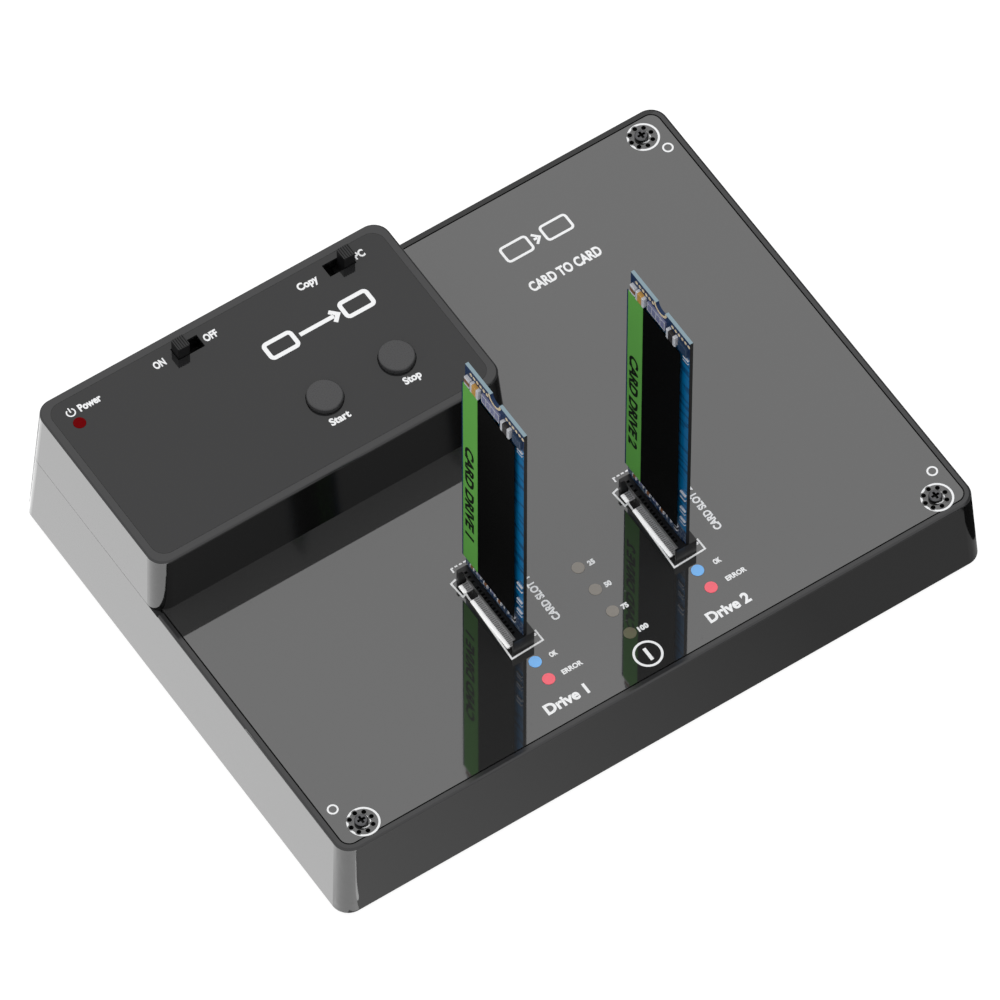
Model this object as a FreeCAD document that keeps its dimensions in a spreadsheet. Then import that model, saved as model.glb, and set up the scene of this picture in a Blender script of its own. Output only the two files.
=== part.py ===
import FreeCAD, Part
import math
import os

import Sketcher

# Two-bay drive duplicator.
# Origin: centre of the footprint, on the surface that the feet stand on.
# +X runs to the right along the long front edge, +Y to the back, +Z up. Millimetres.

doc = FreeCAD.newDocument("DriveDuplicator")
sheet = doc.addObject("Spreadsheet::Sheet", "Sizes")
V = FreeCAD.Vector

SIZES = [
    # base
    ("base_length", 161.6, "outer length of the base at its rim"),
    ("base_width", 122.6, "outer width of the base at its rim"),
    ("base_height", 22.0, "height of the base, bottom to rim"),
    ("base_corner", 3.95, "outer corner radius of the base and of the control housing"),
    ("base_wall", 2.6, "wall of the base below the board"),
    ("base_floor", 2.2, "floor of the base"),
    ("draft_angle", 3.7, "draft of the outer sides, degrees"),
    ("core_draft", 1.0, "draft of the inner sides of the base, degrees"),
    ("rim_lip", 1.4, "width of the rim beside the board"),
    ("rim_gap", 0.3, "gap between rim and board"),
    ("rim_round", 0.55, "rounding of the rim's outer edge"),
    ("rib_height", 2.4, "height of the ribs on the floor"),
    ("rib_thickness", 1.4, "thickness of the ribs on the floor"),
    ("rib_pitch_x", 46.0, "distance between the ribs that run front to back"),
    ("rib_pitch_y", 38.0, "distance between the ribs that run side to side"),
    # feet
    ("foot_height", 1.2, "how far a foot stands out below the base"),
    ("foot_radius", 5.0, "radius of a foot"),
    ("foot_chamfer", 0.4, "chamfer round the lower edge of a foot"),
    ("foot_recess", 0.8, "depth of the seat of a foot in the floor"),
    ("foot_clearance", 0.1, "gap round a foot in its seat"),
    ("foot_inset", 13.0, "distance of a foot's centre from the rim's outer edges"),
    # main board and its screws
    ("board_thickness", 1.6, "thickness of the main board"),
    ("post_side", 7.7, "corner screws, from the rim's left and right sides"),
    ("post_front", 5.05, "corner screws, from the rim's front"),
    ("post_back", 5.75, "corner screws, from the rim's back"),
    ("post_radius", 3.4, "radius of a corner post"),
    ("small_screw_radius", 0.95, "shank radius of a small screw"),
    ("small_head_radius", 1.5, "head radius of a small screw"),
    ("small_head_height", 1.0, "head height of a small screw"),
    ("small_screw_length", 7.0, "shank length of a small screw"),
    ("small_recess_depth", 0.6, "depth of the cross recess"),
    ("small_recess_width", 0.6, "width of one slot of the cross recess"),
    ("small_recess_length", 1.9, "length of one slot of the cross recess"),
    ("screw_clearance", 0.2, "gap round a screw's shank in a clear hole"),
    ("screw_tip", 0.4, "chamfer at the tip of a screw"),
    ("head_bevel", 0.25, "bevel round the edge of a screw's head"),
    ("pilot_gap", 0.05, "gap round a screw's shank in its boss"),
    ("pilot_spare", 0.6, "how much deeper than its screw a pilot hole is"),
    # raised control housing
    ("house_length", 88.1, "length of the control housing's top"),
    ("house_depth", 48.7, "depth of the control housing's top"),
    ("house_height", 16.0, "height of the control housing above the board"),
    ("house_wall", 2.0, "side walls of the control housing"),
    ("house_top_wall", 2.0, "top wall of the control housing"),
    ("house_round", 0.45, "rounding of the top edge of the control housing"),
    ("house_lap", 0.6, "how far the control housing reaches below the rim"),
    ("seam_gap", 0.1, "parting gap between the control housing and the base"),
    ("fascia_frame", 1.9, "width of the border round the fascia"),
    ("fascia_corner", 3.2, "corner radius of the fascia"),
    ("fascia_thickness", 0.5, "thickness of the fascia"),
    ("fascia_clearance", 0.05, "gap round the fascia in its recess"),
    # long screws that pull the control housing down
    ("column_radius", 3.1, "radius of a column of the control housing"),
    ("column_left", 7.365, "left front column, from the housing's left side"),
    ("column_right", 6.135, "right columns, from the housing's right side"),
    ("column_front", 6.035, "front columns, from the housing's front"),
    ("column_back", 13.265, "right back column, from the housing's back"),
    ("notch_column_left", 19.765, "left back column, from the housing's left side"),
    ("notch_column_back", 6.865, "left back column, from the housing's back"),
    ("long_screw_radius", 1.45, "shank radius of a long screw"),
    ("long_head_radius", 2.7, "head radius of a long screw"),
    ("long_head_height", 2.0, "head height of a long screw"),
    ("long_screw_bite", 7.0, "how far a long screw enters its column"),
    ("long_recess_depth", 1.2, "depth of a long screw's cross recess"),
    ("long_recess_width", 0.6, "width of one slot of a long screw's cross recess"),
    ("long_recess_length", 3.0, "length of one slot of a long screw's cross recess"),
    ("sleeve_radius", 4.6, "radius of a screw sleeve in the base"),
    ("sleeve_web", 3.0, "web at the top of a screw sleeve"),
    ("sleeve_clearance", 0.4, "gap round a long screw's head"),
    # control board
    ("control_drop", 5.2, "from the top wall down to the control board"),
    ("control_thickness", 1.2, "thickness of the control board"),
    ("control_left", 3.565, "control board, from the housing's left side"),
    ("control_right", 10.335, "control board, from the housing's right side"),
    ("control_front", 10.035, "control board, from the housing's front"),
    ("control_back", 2.265, "control board, from the housing's back"),
    ("control_corner", 1.0, "corner radius of the control board"),
    ("column_clearance", 0.5, "gap round a column in the control board"),
    ("hanger_radius", 2.4, "radius of a boss that holds the control board"),
    ("hanger_left", 7.765, "left bosses, from the housing's left side"),
    ("hanger_right", 25.835, "right bosses, from the housing's right side"),
    ("hanger_front", 13.635, "front bosses, from the housing's front"),
    ("hanger_back", 16.265, "back bosses, from the housing's back"),
    ("hanger_screw_length", 5.0, "shank length of a control board screw"),
    # slide switches
    ("slot_length", 6.7, "length of a switch slot"),
    ("slot_width", 3.4, "width of a switch slot"),
    ("slot_back", 5.215, "switch slots, from the housing's back"),
    ("power_slot_left", 35.865, "power switch slot, from the housing's left side"),
    ("mode_slot_right", 13.635, "mode switch slot, from the housing's right side"),
    ("knob_length", 2.9, "length of a switch knob along its travel"),
    ("knob_gap", 0.15, "gap round a knob in its slot"),
    ("knob_height", 3.5, "how far a knob stands above the fascia"),
    ("knob_round", 0.25, "rounding of a knob's upright edges"),
    ("knob_ridge_pitch", 0.56, "distance between the grooves on a knob"),
    ("knob_groove_width", 0.26, "width of a groove on a knob"),
    ("knob_groove_depth", 0.22, "depth of a groove on a knob"),
    ("carriage_lip", 1.0, "how far a knob's carriage stands out along its travel"),
    ("carriage_width", 4.0, "width of a knob's carriage"),
    ("carriage_thickness", 1.6, "thickness of a knob's carriage"),
    ("switch_height", 5.0, "height of a slide switch's case"),
    ("switch_wall", 0.7, "wall of a slide switch's case"),
    ("switch_cavity_depth", 3.0, "depth of the cavity of a slide switch"),
    # push buttons and their switches
    ("start_right", 34.935, "start button, from the housing's right side"),
    ("stop_right", 16.635, "stop button, from the housing's right side"),
    ("button_front", 16.535, "both buttons, from the housing's front"),
    ("button_radius", 4.0, "radius of a button"),
    ("button_gap", 0.2, "gap round a button"),
    ("button_height", 1.25, "how far a button stands above the fascia"),
    ("button_round", 0.35, "rounding of a button's top edge"),
    ("button_wall", 1.0, "side wall of a button"),
    ("button_top_wall", 1.3, "top wall of a button"),
    ("button_flange", 0.8, "how far a button's flange stands out"),
    ("button_flange_thickness", 0.8, "thickness of a button's flange"),
    ("button_stop_gap", 0.08, "gap above a button's flange"),
    ("button_travel", 0.5, "travel of a button"),
    ("tact_width", 6.0, "width of a push switch's case"),
    ("tact_height", 3.4, "height of a push switch's case"),
    ("tact_corner", 0.4, "corner radius of a push switch's case"),
    ("tact_bore_depth", 2.4, "depth of the bore of a push switch"),
    ("plunger_radius", 1.7, "radius of a push switch's plunger"),
    ("plunger_gap", 0.15, "gap round a push switch's plunger"),
    ("plunger_spare", 0.1, "gap below a plunger that is pushed right down"),
    # lamps
    ("power_lamp_left", 6.365, "power lamp, from the housing's left side"),
    ("power_lamp_back", 8.615, "power lamp, from the housing's back"),
    ("power_lamp_radius", 1.4, "radius of the power lamp's lens"),
    ("power_chip_length", 2.0, "length of the power lamp's light source"),
    ("power_chip_width", 1.2, "width of the power lamp's light source"),
    ("power_chip_height", 0.8, "height of the power lamp's light source"),
    ("lamp_radius", 1.42, "radius of a lamp in the main board"),
    ("lamp_gap", 0.04, "gap round a lamp"),
    ("lamp_proud", 0.06, "how far a lamp stands above its surface"),
    ("lamp_flange", 0.7, "width and thickness of a lamp's flange"),
    ("progress_x", 0.0, "row of progress lamps"),
    ("progress_y", -28.85, "first progress lamp"),
    ("progress_pitch", 6.56, "distance between progress lamps"),
    ("ready_y", -43.43, "ready lamps"),
    ("error_y", -48.55, "error lamps"),
    # sockets
    ("bay_x", 20.7, "bays, left and right of the centre"),
    ("socket_back_wall", 0.67, "from a card's tongue to the back end of its socket"),
    ("socket_front_wall", 1.33, "from a card's tongue to the front end of its socket"),
    ("socket_width", 4.45, "width of a socket between its long sides"),
    ("socket_height", 4.6, "height of a socket"),
    ("socket_round", 0.15, "rounding of a socket's upright edges"),
    ("wing_reach", 0.9, "how far a socket's end walls stand out to the left"),
    ("back_wing", 0.85, "thickness of a socket's back end wall"),
    ("front_wing", 0.5, "thickness of a socket's front end wall"),
    ("shelf_thickness", 0.9, "thickness of a socket's shelves over the tails"),
    ("slot_wall", 0.55, "wall between a socket's slot and the tails"),
    ("key_rib_drop", 0.5, "from a socket's top down to its key rib"),
    ("short_row_opening", 9.0, "first opening of the short row from the middle of a card"),
    ("short_row_pitch", 1.35, "distance between the openings of the short row"),
    ("long_row_opening", 4.45, "first opening of the long row from the middle of a card"),
    ("long_row_pitch", 1.04, "distance between the openings of the long row"),
    ("cavity_width", 0.6, "width of a contact opening"),
    ("cavity_length", 0.7, "length of a contact opening"),
    ("cavity_depth", 0.7, "depth of a contact opening"),
    ("cavity_offset", 1.7, "contact openings from the middle of a card"),
    ("short_row_tail", 9.25, "first tail of the short row from the middle of a card"),
    ("long_row_tail", 4.75, "first tail of the long row from the middle of a card"),
    ("tail_reach", 3.4, "from the middle of a card to the ends of the tails"),
    ("tail_gap", 0.2, "gap between a tail's upper end and the shelf"),
    ("tail_thickness", 0.2, "thickness of a tail"),
    ("tail_pitch", 0.5, "distance between tails"),
    ("tail_width", 0.34, "width of a tail"),
    # card drives
    ("card_shift", 0.3, "middle of a card from the middle of its bay"),
    ("card_y", -28.14, "middle of a card"),
    ("card_width", 22.0, "width of a card"),
    ("card_length", 80.0, "length of a card"),
    ("card_thickness", 0.8, "thickness of a card"),
    ("card_gap", 0.15, "gap round a card's tongue in its slot"),
    ("tongue_width", 19.85, "width of a card's tongue"),
    ("tongue_length", 3.9, "length of a card's tongue"),
    ("tongue_chamfer", 0.4, "chamfer at the corners of a card's tongue"),
    ("shoulder_gap", 0.2, "gap between a card's shoulders and its socket"),
    ("key_offset", 6.1, "key notch from the middle of a card"),
    ("key_width", 1.2, "width of the key notch"),
    ("key_depth", 3.4, "depth of the key notch"),
    ("half_hole_radius", 1.75, "half-round notch at a card's far end"),
    ("chip_thickness", 0.75, "thickness of the chips on a card"),
    ("card_controller_side", 14.0, "side of a card's controller chip"),
    ("card_controller_along", 19.0, "a card's controller chip, from the contact edge"),
    ("memory_width", 14.0, "width of a memory chip"),
    ("memory_length", 18.0, "length of a memory chip"),
    ("memory_along", 40.0, "first memory chip, from the contact edge"),
    ("memory_pitch", 22.0, "distance between the memory chips"),
    ("label_thickness", 0.12, "thickness of a card's label"),
    ("label_width", 19.6, "width of a card's label"),
    ("label_start", 8.3, "from a card's contact edge to its label"),
    ("label_length", 66.0, "length of a card's label"),
    # ports and inner parts
    ("jack_left", 44.8, "power inlet, from the rim's left side"),
    ("jack_width", 9.0, "width of the power inlet"),
    ("jack_depth", 13.5, "depth of the power inlet"),
    ("jack_height", 10.6, "height of the power inlet"),
    ("jack_bore", 3.1, "radius of the power inlet's bore"),
    ("jack_bore_depth", 9.5, "depth of the power inlet's bore"),
    ("jack_pin_radius", 1.0, "radius of the power inlet's pin"),
    ("jack_pin_recess", 1.0, "from the power inlet's face to its pin"),
    ("port_left", 68.8, "data port, from the rim's left side"),
    ("port_width", 8.94, "width of the data port's shell"),
    ("port_height", 3.2, "height of the data port's shell"),
    ("port_depth", 8.6, "depth of the data port's shell"),
    ("port_corner", 1.4, "corner radius of the data port's shell"),
    ("port_wall", 0.3, "wall of the data port's shell"),
    ("port_block", 2.2, "depth of the block at the back of the data port"),
    ("port_tongue", 0.7, "thickness of the data port's tongue"),
    ("port_tongue_width", 6.7, "width of the data port's tongue"),
    ("port_tongue_recess", 0.8, "from the data port's face to its tongue"),
    ("port_opening_gap", 0.35, "gap round a port in the base's back wall"),
    ("link_right", 22.335, "link between the boards, from the housing's right side"),
    ("link_back", 25.265, "link between the boards, from the housing's back"),
    ("link_length", 20.3, "length of the link's housing"),
    ("link_width", 2.5, "width of the link's housing"),
    ("link_pin_side", 0.64, "side of a link pin"),
    ("link_pitch", 2.54, "distance between link pins"),
    ("link_hole_radius", 0.5, "radius of a board's hole for a link pin"),
    ("link_tail", 1.2, "how far the link pins stand out of a board"),
    ("chip_side", 12.0, "side of a bay's chip"),
    ("chip_y", -8.0, "chips of the two bays"),
    ("main_chip_side", 17.0, "side of the copy controller chip"),
    ("main_chip_x", 34.0, "copy controller chip"),
    ("main_chip_y", 14.0, "copy controller chip"),
    ("package_height", 1.2, "height of a chip"),
    ("coil_side", 7.0, "side of a power coil"),
    ("coil_height", 3.2, "height of a power coil"),
    ("capacitor_radius", 4.0, "radius of a capacitor"),
    ("capacitor_height", 9.0, "height of a capacitor"),
    ("coil_left", 46.8, "first power coil, from the rim's left side"),
    ("coil_pitch", 10.0, "distance between coils and capacitors"),
    ("inner_part_back", 25.3, "row of coils and capacitors, from the rim's back"),
]

# Small parts of a card: name, across from the card's middle, along from its contact edge,
# width, length and height.
SMALL_PARTS = [
    ("end_capacitor", 9.3, 75.7, 1.8, 2.6, 0.8),
    ("inductor", 6.5, 75.9, 2.9, 3.0, 0.9),
    ("resistor_array", 1.0, 76.0, 6.6, 3.0, 0.45),
    ("large_capacitor", -5.0, 75.9, 3.2, 3.0, 0.9),
    ("regulator", -8.8, 76.0, 3.0, 3.0, 0.6),
    ("low_capacitor_1", 8.0, 6.2, 1.6, 1.0, 0.5),
    ("low_capacitor_2", 2.8, 6.2, 1.6, 1.0, 0.5),
    ("low_capacitor_3", -2.4, 6.2, 1.6, 1.0, 0.5),
    ("low_resistor", -7.6, 6.4, 1.0, 1.8, 0.4),
]
SMALL_PART_SIZES = ("across", "along", "width", "length", "height")


def fill_sheet():
    """Writes each size with its meaning and its name."""
    rows = list(SIZES)
    for name, *numbers in SMALL_PARTS:
        for kind, number in zip(SMALL_PART_SIZES, numbers):
            rows.append((f"{name}_{kind}", number, f"{name}, {kind}"))
    for row, (alias, number, meaning) in enumerate(rows, start=1):
        sheet.set(f"A{row}", meaning)
        sheet.set(f"B{row}", str(number))
        sheet.setAlias(f"B{row}", alias)
    doc.recompute()


def s(alias):
    """The name of one size, as expressions write it."""
    return f"Sizes.{alias}"


def value(expression):
    """The number that an expression stands for now."""
    result = sheet.evalExpression(str(expression))
    return float(getattr(result, "Value", result))


SLOPE = f"tan({s('draft_angle')})"
BASE_BOTTOM = s("foot_height")
FLOOR_TOP = f"({BASE_BOTTOM} + {s('base_floor')})"
BOARD_TOP = f"({BASE_BOTTOM} + {s('base_height')})"
BOARD_BOTTOM = f"({BOARD_TOP} - {s('board_thickness')})"
HOUSE_BOTTOM = f"({BOARD_TOP} - {s('house_lap')} + {s('seam_gap')})"
HOUSE_TOP = f"({BOARD_TOP} + {s('house_height')})"
HOUSE_UNDER = f"({HOUSE_TOP} - {s('house_top_wall')})"
CONTROL_TOP = f"({HOUSE_UNDER} - {s('control_drop')})"
CONTROL_BOTTOM = f"({CONTROL_TOP} - {s('control_thickness')})"
RIM_X = f"({s('base_length')} / 2)"
RIM_Y = f"({s('base_width')} / 2)"
HOUSE_DRAFT = f"({s('house_height')} * {SLOPE})"
HOUSE_LEFT = f"(-{RIM_X} + {HOUSE_DRAFT})"
HOUSE_RIGHT = f"({HOUSE_LEFT} + {s('house_length')})"
HOUSE_BACK = f"({RIM_Y} - {HOUSE_DRAFT})"
HOUSE_FRONT = f"({HOUSE_BACK} - {s('house_depth')})"
SOCKET_TOP = f"({BOARD_TOP} + {s('socket_height')})"
CARD_BOTTOM = f"({SOCKET_TOP} - {s('tongue_length')} + {s('shoulder_gap')})"
CARD_FACE = f"({s('card_shift')} - {s('card_thickness')} / 2)"
KEY_Y = f"({s('card_y')} + {s('key_offset')})"
SOCKET_BACK = f"({s('card_y')} + {s('tongue_width')} / 2 + {s('socket_back_wall')})"
SOCKET_FRONT = f"({s('card_y')} - {s('tongue_width')} / 2 - {s('socket_front_wall')})"
HALF_SLOT = f"({s('card_thickness')} / 2 + {s('card_gap')})"
SHELF_UNDER = f"({SOCKET_TOP} - {s('shelf_thickness')})"
SWITCH_FLOOR = f"({CONTROL_TOP} + {s('switch_height')} - {s('switch_cavity_depth')})"
KNOB_TRAVEL = f"({s('slot_length')} - {s('knob_length')} - 2 * {s('knob_gap')})"
FLANGE_TOP = f"({HOUSE_UNDER} - {s('button_stop_gap')})"
FLANGE_BOTTOM = f"({FLANGE_TOP} - {s('button_flange_thickness')})"


def from_left(alias):
    """A place across, from the control housing's left side."""
    return f"({HOUSE_LEFT} + {s(alias)})"


def from_right(alias):
    """A place across, from the control housing's right side."""
    return f"({HOUSE_RIGHT} - {s(alias)})"


def from_front(alias):
    """A place along, from the control housing's front."""
    return f"({HOUSE_FRONT} + {s(alias)})"


def from_back(alias):
    """A place along, from the control housing's back."""
    return f"({HOUSE_BACK} - {s(alias)})"


POST_X = f"({RIM_X} - {s('post_side')})"
POST_FRONT = f"(-{RIM_Y} + {s('post_front')})"
POST_BACK = f"({RIM_Y} - {s('post_back')})"
POSTS = [(f"-{POST_X}", POST_FRONT), (POST_X, POST_FRONT), (POST_X, POST_BACK), (f"-{POST_X}", POST_BACK)]
COLUMNS = [
    (from_left("column_left"), from_front("column_front")),
    (from_right("column_right"), from_front("column_front")),
    (from_right("column_right"), from_back("column_back")),
    (from_left("notch_column_left"), from_back("notch_column_back")),
]
HANGERS = [
    (from_left("hanger_left"), from_front("hanger_front")),
    (from_right("hanger_right"), from_front("hanger_front")),
    (from_right("hanger_right"), from_back("hanger_back")),
    (from_left("hanger_left"), from_back("hanger_back")),
]
FEET = [
    (f"{side_x} * ({RIM_X} - {s('foot_inset')})", f"{side_y} * ({RIM_Y} - {s('foot_inset')})")
    for side_x, side_y in ((-1, -1), (1, -1), (1, 1), (-1, 1))
]
PROGRESS_LAMPS = [
    (s("progress_x"), f"({s('progress_y')} - {step} * {s('progress_pitch')})") for step in range(4)
]
READY_LAMPS = [(f"{side} * {s('bay_x')}", s("ready_y")) for side in (-1, 1)]
ERROR_LAMPS = [(f"{side} * {s('bay_x')}", s("error_y")) for side in (-1, 1)]
BAYS = ((1, -1), (2, 1))
LINK_X, LINK_Y = from_right("link_right"), from_back("link_back")
LINK_PINS = [
    (f"({LINK_X} + {step} * {s('link_pitch')})", LINK_Y)
    for step in (-3.5, -2.5, -1.5, -0.5, 0.5, 1.5, 2.5, 3.5)
]
POWER_SLOT_X, MODE_SLOT_X = from_left("power_slot_left"), from_right("mode_slot_right")
SLOT_Y = from_back("slot_back")
START_X, STOP_X = from_right("start_right"), from_right("stop_right")
BUTTON_Y = from_front("button_front")
POWER_LAMP_X, POWER_LAMP_Y = from_left("power_lamp_left"), from_back("power_lamp_back")
SLOTS = [(POWER_SLOT_X, SLOT_Y), (MODE_SLOT_X, SLOT_Y)]
BUTTONS = [(START_X, BUTTON_Y), (STOP_X, BUTTON_Y)]
JACK_X = f"(-{RIM_X} + {s('jack_left')})"
PORT_X = f"(-{RIM_X} + {s('port_left')})"
COIL_X = f"(-{RIM_X} + {s('coil_left')})"
INNER_PART_Y = f"({RIM_Y} - {s('inner_part_back')})"

# Each row of a socket: its name, its number of contact openings and its number of tails a side.
SOCKET_ROWS = [("short", 3, 5), ("long", 14, 29)]

pieces = []


# Sketches

def new_body(label, kept=True):
    """A body. Those that are kept are pieces of the object, the others are patterns for copies."""
    body = doc.addObject("PartDesign::Body", label)
    if kept:
        pieces.append(body)
    return body


def new_sketch(body, name, height, role="XY_Plane"):
    """A sketch in a plane of its body, shifted along the plane's normal."""
    sketch = body.newObject("Sketcher::SketchObject", f"{body.Name}_{name}")
    base = next(part for part in body.Origin.OriginFeatures if part.Role == role)
    sketch.AttachmentSupport = (base, [""])
    sketch.MapMode = "FlatFace"
    sketch.setExpression(".AttachmentOffset.Base.z", height)
    return sketch


def datum(sketch, kind, places, expression):
    """A dimension of a sketch."""
    index = sketch.addConstraint(Sketcher.Constraint(kind, *places, value(expression)))
    sketch.setExpression(f"Constraints[{index}]", expression)


def circle(sketch, x, y, radius):
    """A circle about a point."""
    shape = Part.Circle(V(value(x), value(y), 0), V(0, 0, 1), value(radius))
    index = sketch.addGeometry(shape)
    datum(sketch, "DistanceX", (-1, 1, index, 3), x)
    datum(sketch, "DistanceY", (-1, 1, index, 3), y)
    datum(sketch, "Radius", (index,), radius)


def circles(sketch, places, radius):
    """The same circle about each of several points."""
    for x, y in places:
        circle(sketch, x, y, radius)


def polygon(sketch, corners):
    """A closed outline of straight lines through its corners."""
    points = [V(value(x), value(y), 0) for x, y in corners]
    count = len(points)
    first = sketch.GeometryCount
    for start, end in zip(points, points[1:] + points[:1]):
        sketch.addGeometry(Part.LineSegment(start, end))
    for number, (x, y) in enumerate(corners):
        line = first + number
        following = first + (number + 1) % count
        sketch.addConstraint(Sketcher.Constraint("Coincident", line, 2, following, 1))
        datum(sketch, "DistanceX", (-1, 1, line, 1), x)
        datum(sketch, "DistanceY", (-1, 1, line, 1), y)


def rectangle(sketch, left, right, low, high):
    """A rectangle between two places across and two places along."""
    polygon(sketch, [(left, low), (right, low), (right, high), (left, high)])


def centred_rectangle(sketch, x, y, length, width):
    """A rectangle about a point."""
    rectangle(sketch, f"{x} - {length} / 2", f"{x} + {length} / 2",
              f"{y} - {width} / 2", f"{y} + {width} / 2")


def rounded_rectangle(sketch, left, right, low, high, radius):
    """A rectangle with four equal round corners: each line runs on into an arc."""
    x0, x1, y0, y1, r = (value(each) for each in (left, right, low, high, radius))
    lines = [
        ((x0 + r, y0), (x1 - r, y0)),
        ((x1, y0 + r), (x1, y1 - r)),
        ((x1 - r, y1), (x0 + r, y1)),
        ((x0, y1 - r), (x0, y0 + r)),
    ]
    centres = [(x1 - r, y0 + r), (x1 - r, y1 - r), (x0 + r, y1 - r), (x0 + r, y0 + r)]
    first = sketch.GeometryCount
    for quarter, ((start, end), centre) in enumerate(zip(lines, centres), start=-1):
        sketch.addGeometry(Part.LineSegment(V(*start, 0), V(*end, 0)))
        round_corner = Part.Circle(V(*centre, 0), V(0, 0, 1), r)
        turn = quarter * math.pi / 2
        sketch.addGeometry(Part.ArcOfCircle(round_corner, turn, turn + math.pi / 2))
    for step in range(8):
        places = (first + step, 2, first + (step + 1) % 8, 1)
        sketch.addConstraint(Sketcher.Constraint("Tangent", *places))
    for step, kind in ((0, "Horizontal"), (2, "Vertical"), (4, "Horizontal"), (6, "Vertical")):
        sketch.addConstraint(Sketcher.Constraint(kind, first + step))
    for step in (3, 5, 7):
        sketch.addConstraint(Sketcher.Constraint("Equal", first + 1, first + step))
    datum(sketch, "Radius", (first + 1,), radius)
    datum(sketch, "DistanceX", (-1, 1, first + 2, 1), right)
    datum(sketch, "DistanceX", (-1, 1, first + 6, 1), left)
    datum(sketch, "DistanceY", (-1, 1, first + 4, 1), high)
    datum(sketch, "DistanceY", (-1, 1, first, 1), low)


def rim_outline(sketch, inset):
    """The rim's outline, moved inwards."""
    rounded_rectangle(sketch, f"-{RIM_X} + {inset}", f"{RIM_X} - {inset}",
                      f"-{RIM_Y} + {inset}", f"{RIM_Y} - {inset}",
                      f"{s('base_corner')} - {inset}")


def house_sides(shift):
    """The control housing's left, right, front and back at its top, moved outwards."""
    return (f"{HOUSE_LEFT} - {shift}", f"{HOUSE_RIGHT} + {shift}",
            f"{HOUSE_FRONT} - {shift}", f"{HOUSE_BACK} + {shift}")


def cross(sketch, length, width):
    """A cross of two equal slots about the origin, drawn quarter by quarter."""
    far, near = f"({length} / 2)", f"({width} / 2)"
    corners = []
    for x_sign, y_sign in (("", ""), ("-", ""), ("-", "-"), ("", "-")):
        quarter = [(x_sign + far, y_sign + near), (x_sign + near, y_sign + near),
                   (x_sign + near, y_sign + far)]
        corners += quarter if x_sign == y_sign else quarter[::-1]
    polygon(sketch, corners)


# Features

def pad(body, sketch, length, draft="0"):
    """Raises a sketch along its normal. A negative draft narrows it on the way."""
    feature = body.newObject("PartDesign::Pad", f"{sketch.Name}_pad")
    feature.Profile = sketch
    feature.setExpression("Length", length)
    feature.setExpression("TaperAngle", draft)
    return feature


def pocket(body, sketch, length, along_normal=False, draft="0"):
    """Cuts a sketch into the body, against its normal unless told otherwise."""
    feature = body.newObject("PartDesign::Pocket", f"{sketch.Name}_cut")
    feature.Profile = sketch
    feature.Type = "Length"
    feature.Reversed = along_normal
    feature.setExpression("Length", length)
    feature.setExpression("TaperAngle", draft)
    return feature


def revolve(body, sketch):
    """Turns a sketch about its upright axis."""
    feature = body.newObject("PartDesign::Revolution", f"{sketch.Name}_turned")
    feature.Profile = sketch
    feature.ReferenceAxis = (sketch, ["V_Axis"])
    feature.Angle = 360
    return feature


def fillet(body, radius, chosen):
    """Rounds those edges of a body that a test picks."""
    doc.recompute()
    base = body.Tip
    names = [f"Edge{number}" for number, edge in enumerate(base.Shape.Edges, start=1) if chosen(edge)]
    feature = body.newObject("PartDesign::Fillet", f"{base.Name}_round")
    feature.Base = (base, names)
    feature.setExpression("Radius", radius)
    return feature


def drafted_block(body, sketch, height):
    """Raises a rectangle that narrows on its way up, with one radius all along its four corners."""
    pad(body, sketch, height, f"-{s('draft_angle')}")
    fillet(body, s("base_corner"), is_slanting)


def row(body, feature, count, pitch):
    """Repeats a feature towards the front."""
    pattern = body.newObject("PartDesign::LinearPattern", f"{feature.Name}_row")
    axis = next(part for part in body.Origin.OriginFeatures if part.Role == "Y_Axis")
    pattern.Originals = [feature]
    pattern.Direction = (axis, [""])
    pattern.Reversed = True
    pattern.Occurrences = count
    pattern.setExpression("Length", f"{count - 1} * {pitch}")
    body.Tip = pattern
    return pattern


def copies(label, original, places):
    """One piece that is a group of equal solids, one at each place."""
    together = doc.addObject("Part::Compound", label)
    links = []
    for number, (x, y) in enumerate(places, start=1):
        link = doc.addObject("App::Link", f"{label}_{number}")
        link.setLink(original)
        link.setExpression(".Placement.Base.x", x)
        link.setExpression(".Placement.Base.y", y)
        links.append(link)
    together.Links = links
    pieces.append(together)


def block(label, x, y, bottom, sizes):
    """A block about a point, with its lower face at a height."""
    length, width, height = sizes
    box = doc.addObject("Part::Box", label)
    box.setExpression("Length", length)
    box.setExpression("Width", width)
    box.setExpression("Height", height)
    box.setExpression(".Placement.Base.x", f"{x} - {length} / 2")
    box.setExpression(".Placement.Base.y", f"{y} - {width} / 2")
    box.setExpression(".Placement.Base.z", bottom)
    return box


def cylinder(label, x, y, bottom, radius, height):
    """An upright cylinder about a point, with its lower face at a height."""
    round_bar = doc.addObject("Part::Cylinder", label)
    round_bar.setExpression("Radius", radius)
    round_bar.setExpression("Height", height)
    round_bar.setExpression(".Placement.Base.x", x)
    round_bar.setExpression(".Placement.Base.y", y)
    round_bar.setExpression(".Placement.Base.z", bottom)
    return round_bar


def group(label, members):
    """One piece that is a group of separate solids."""
    together = doc.addObject("Part::Compound", label)
    together.Links = members
    pieces.append(together)


def place(body, x, y="0"):
    """Moves a body to its place on the boards."""
    body.setExpression(".Placement.Base.x", x)
    body.setExpression(".Placement.Base.y", y)


def at_height(edge, height):
    """True for an edge that lies at one height."""
    box = edge.BoundBox
    return abs(box.ZMin - height) < 0.001 and abs(box.ZMax - height) < 0.001


def is_upright(edge):
    """True for a straight edge that runs straight up."""
    box = edge.BoundBox
    return box.XLength < 0.001 and box.YLength < 0.001


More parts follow.
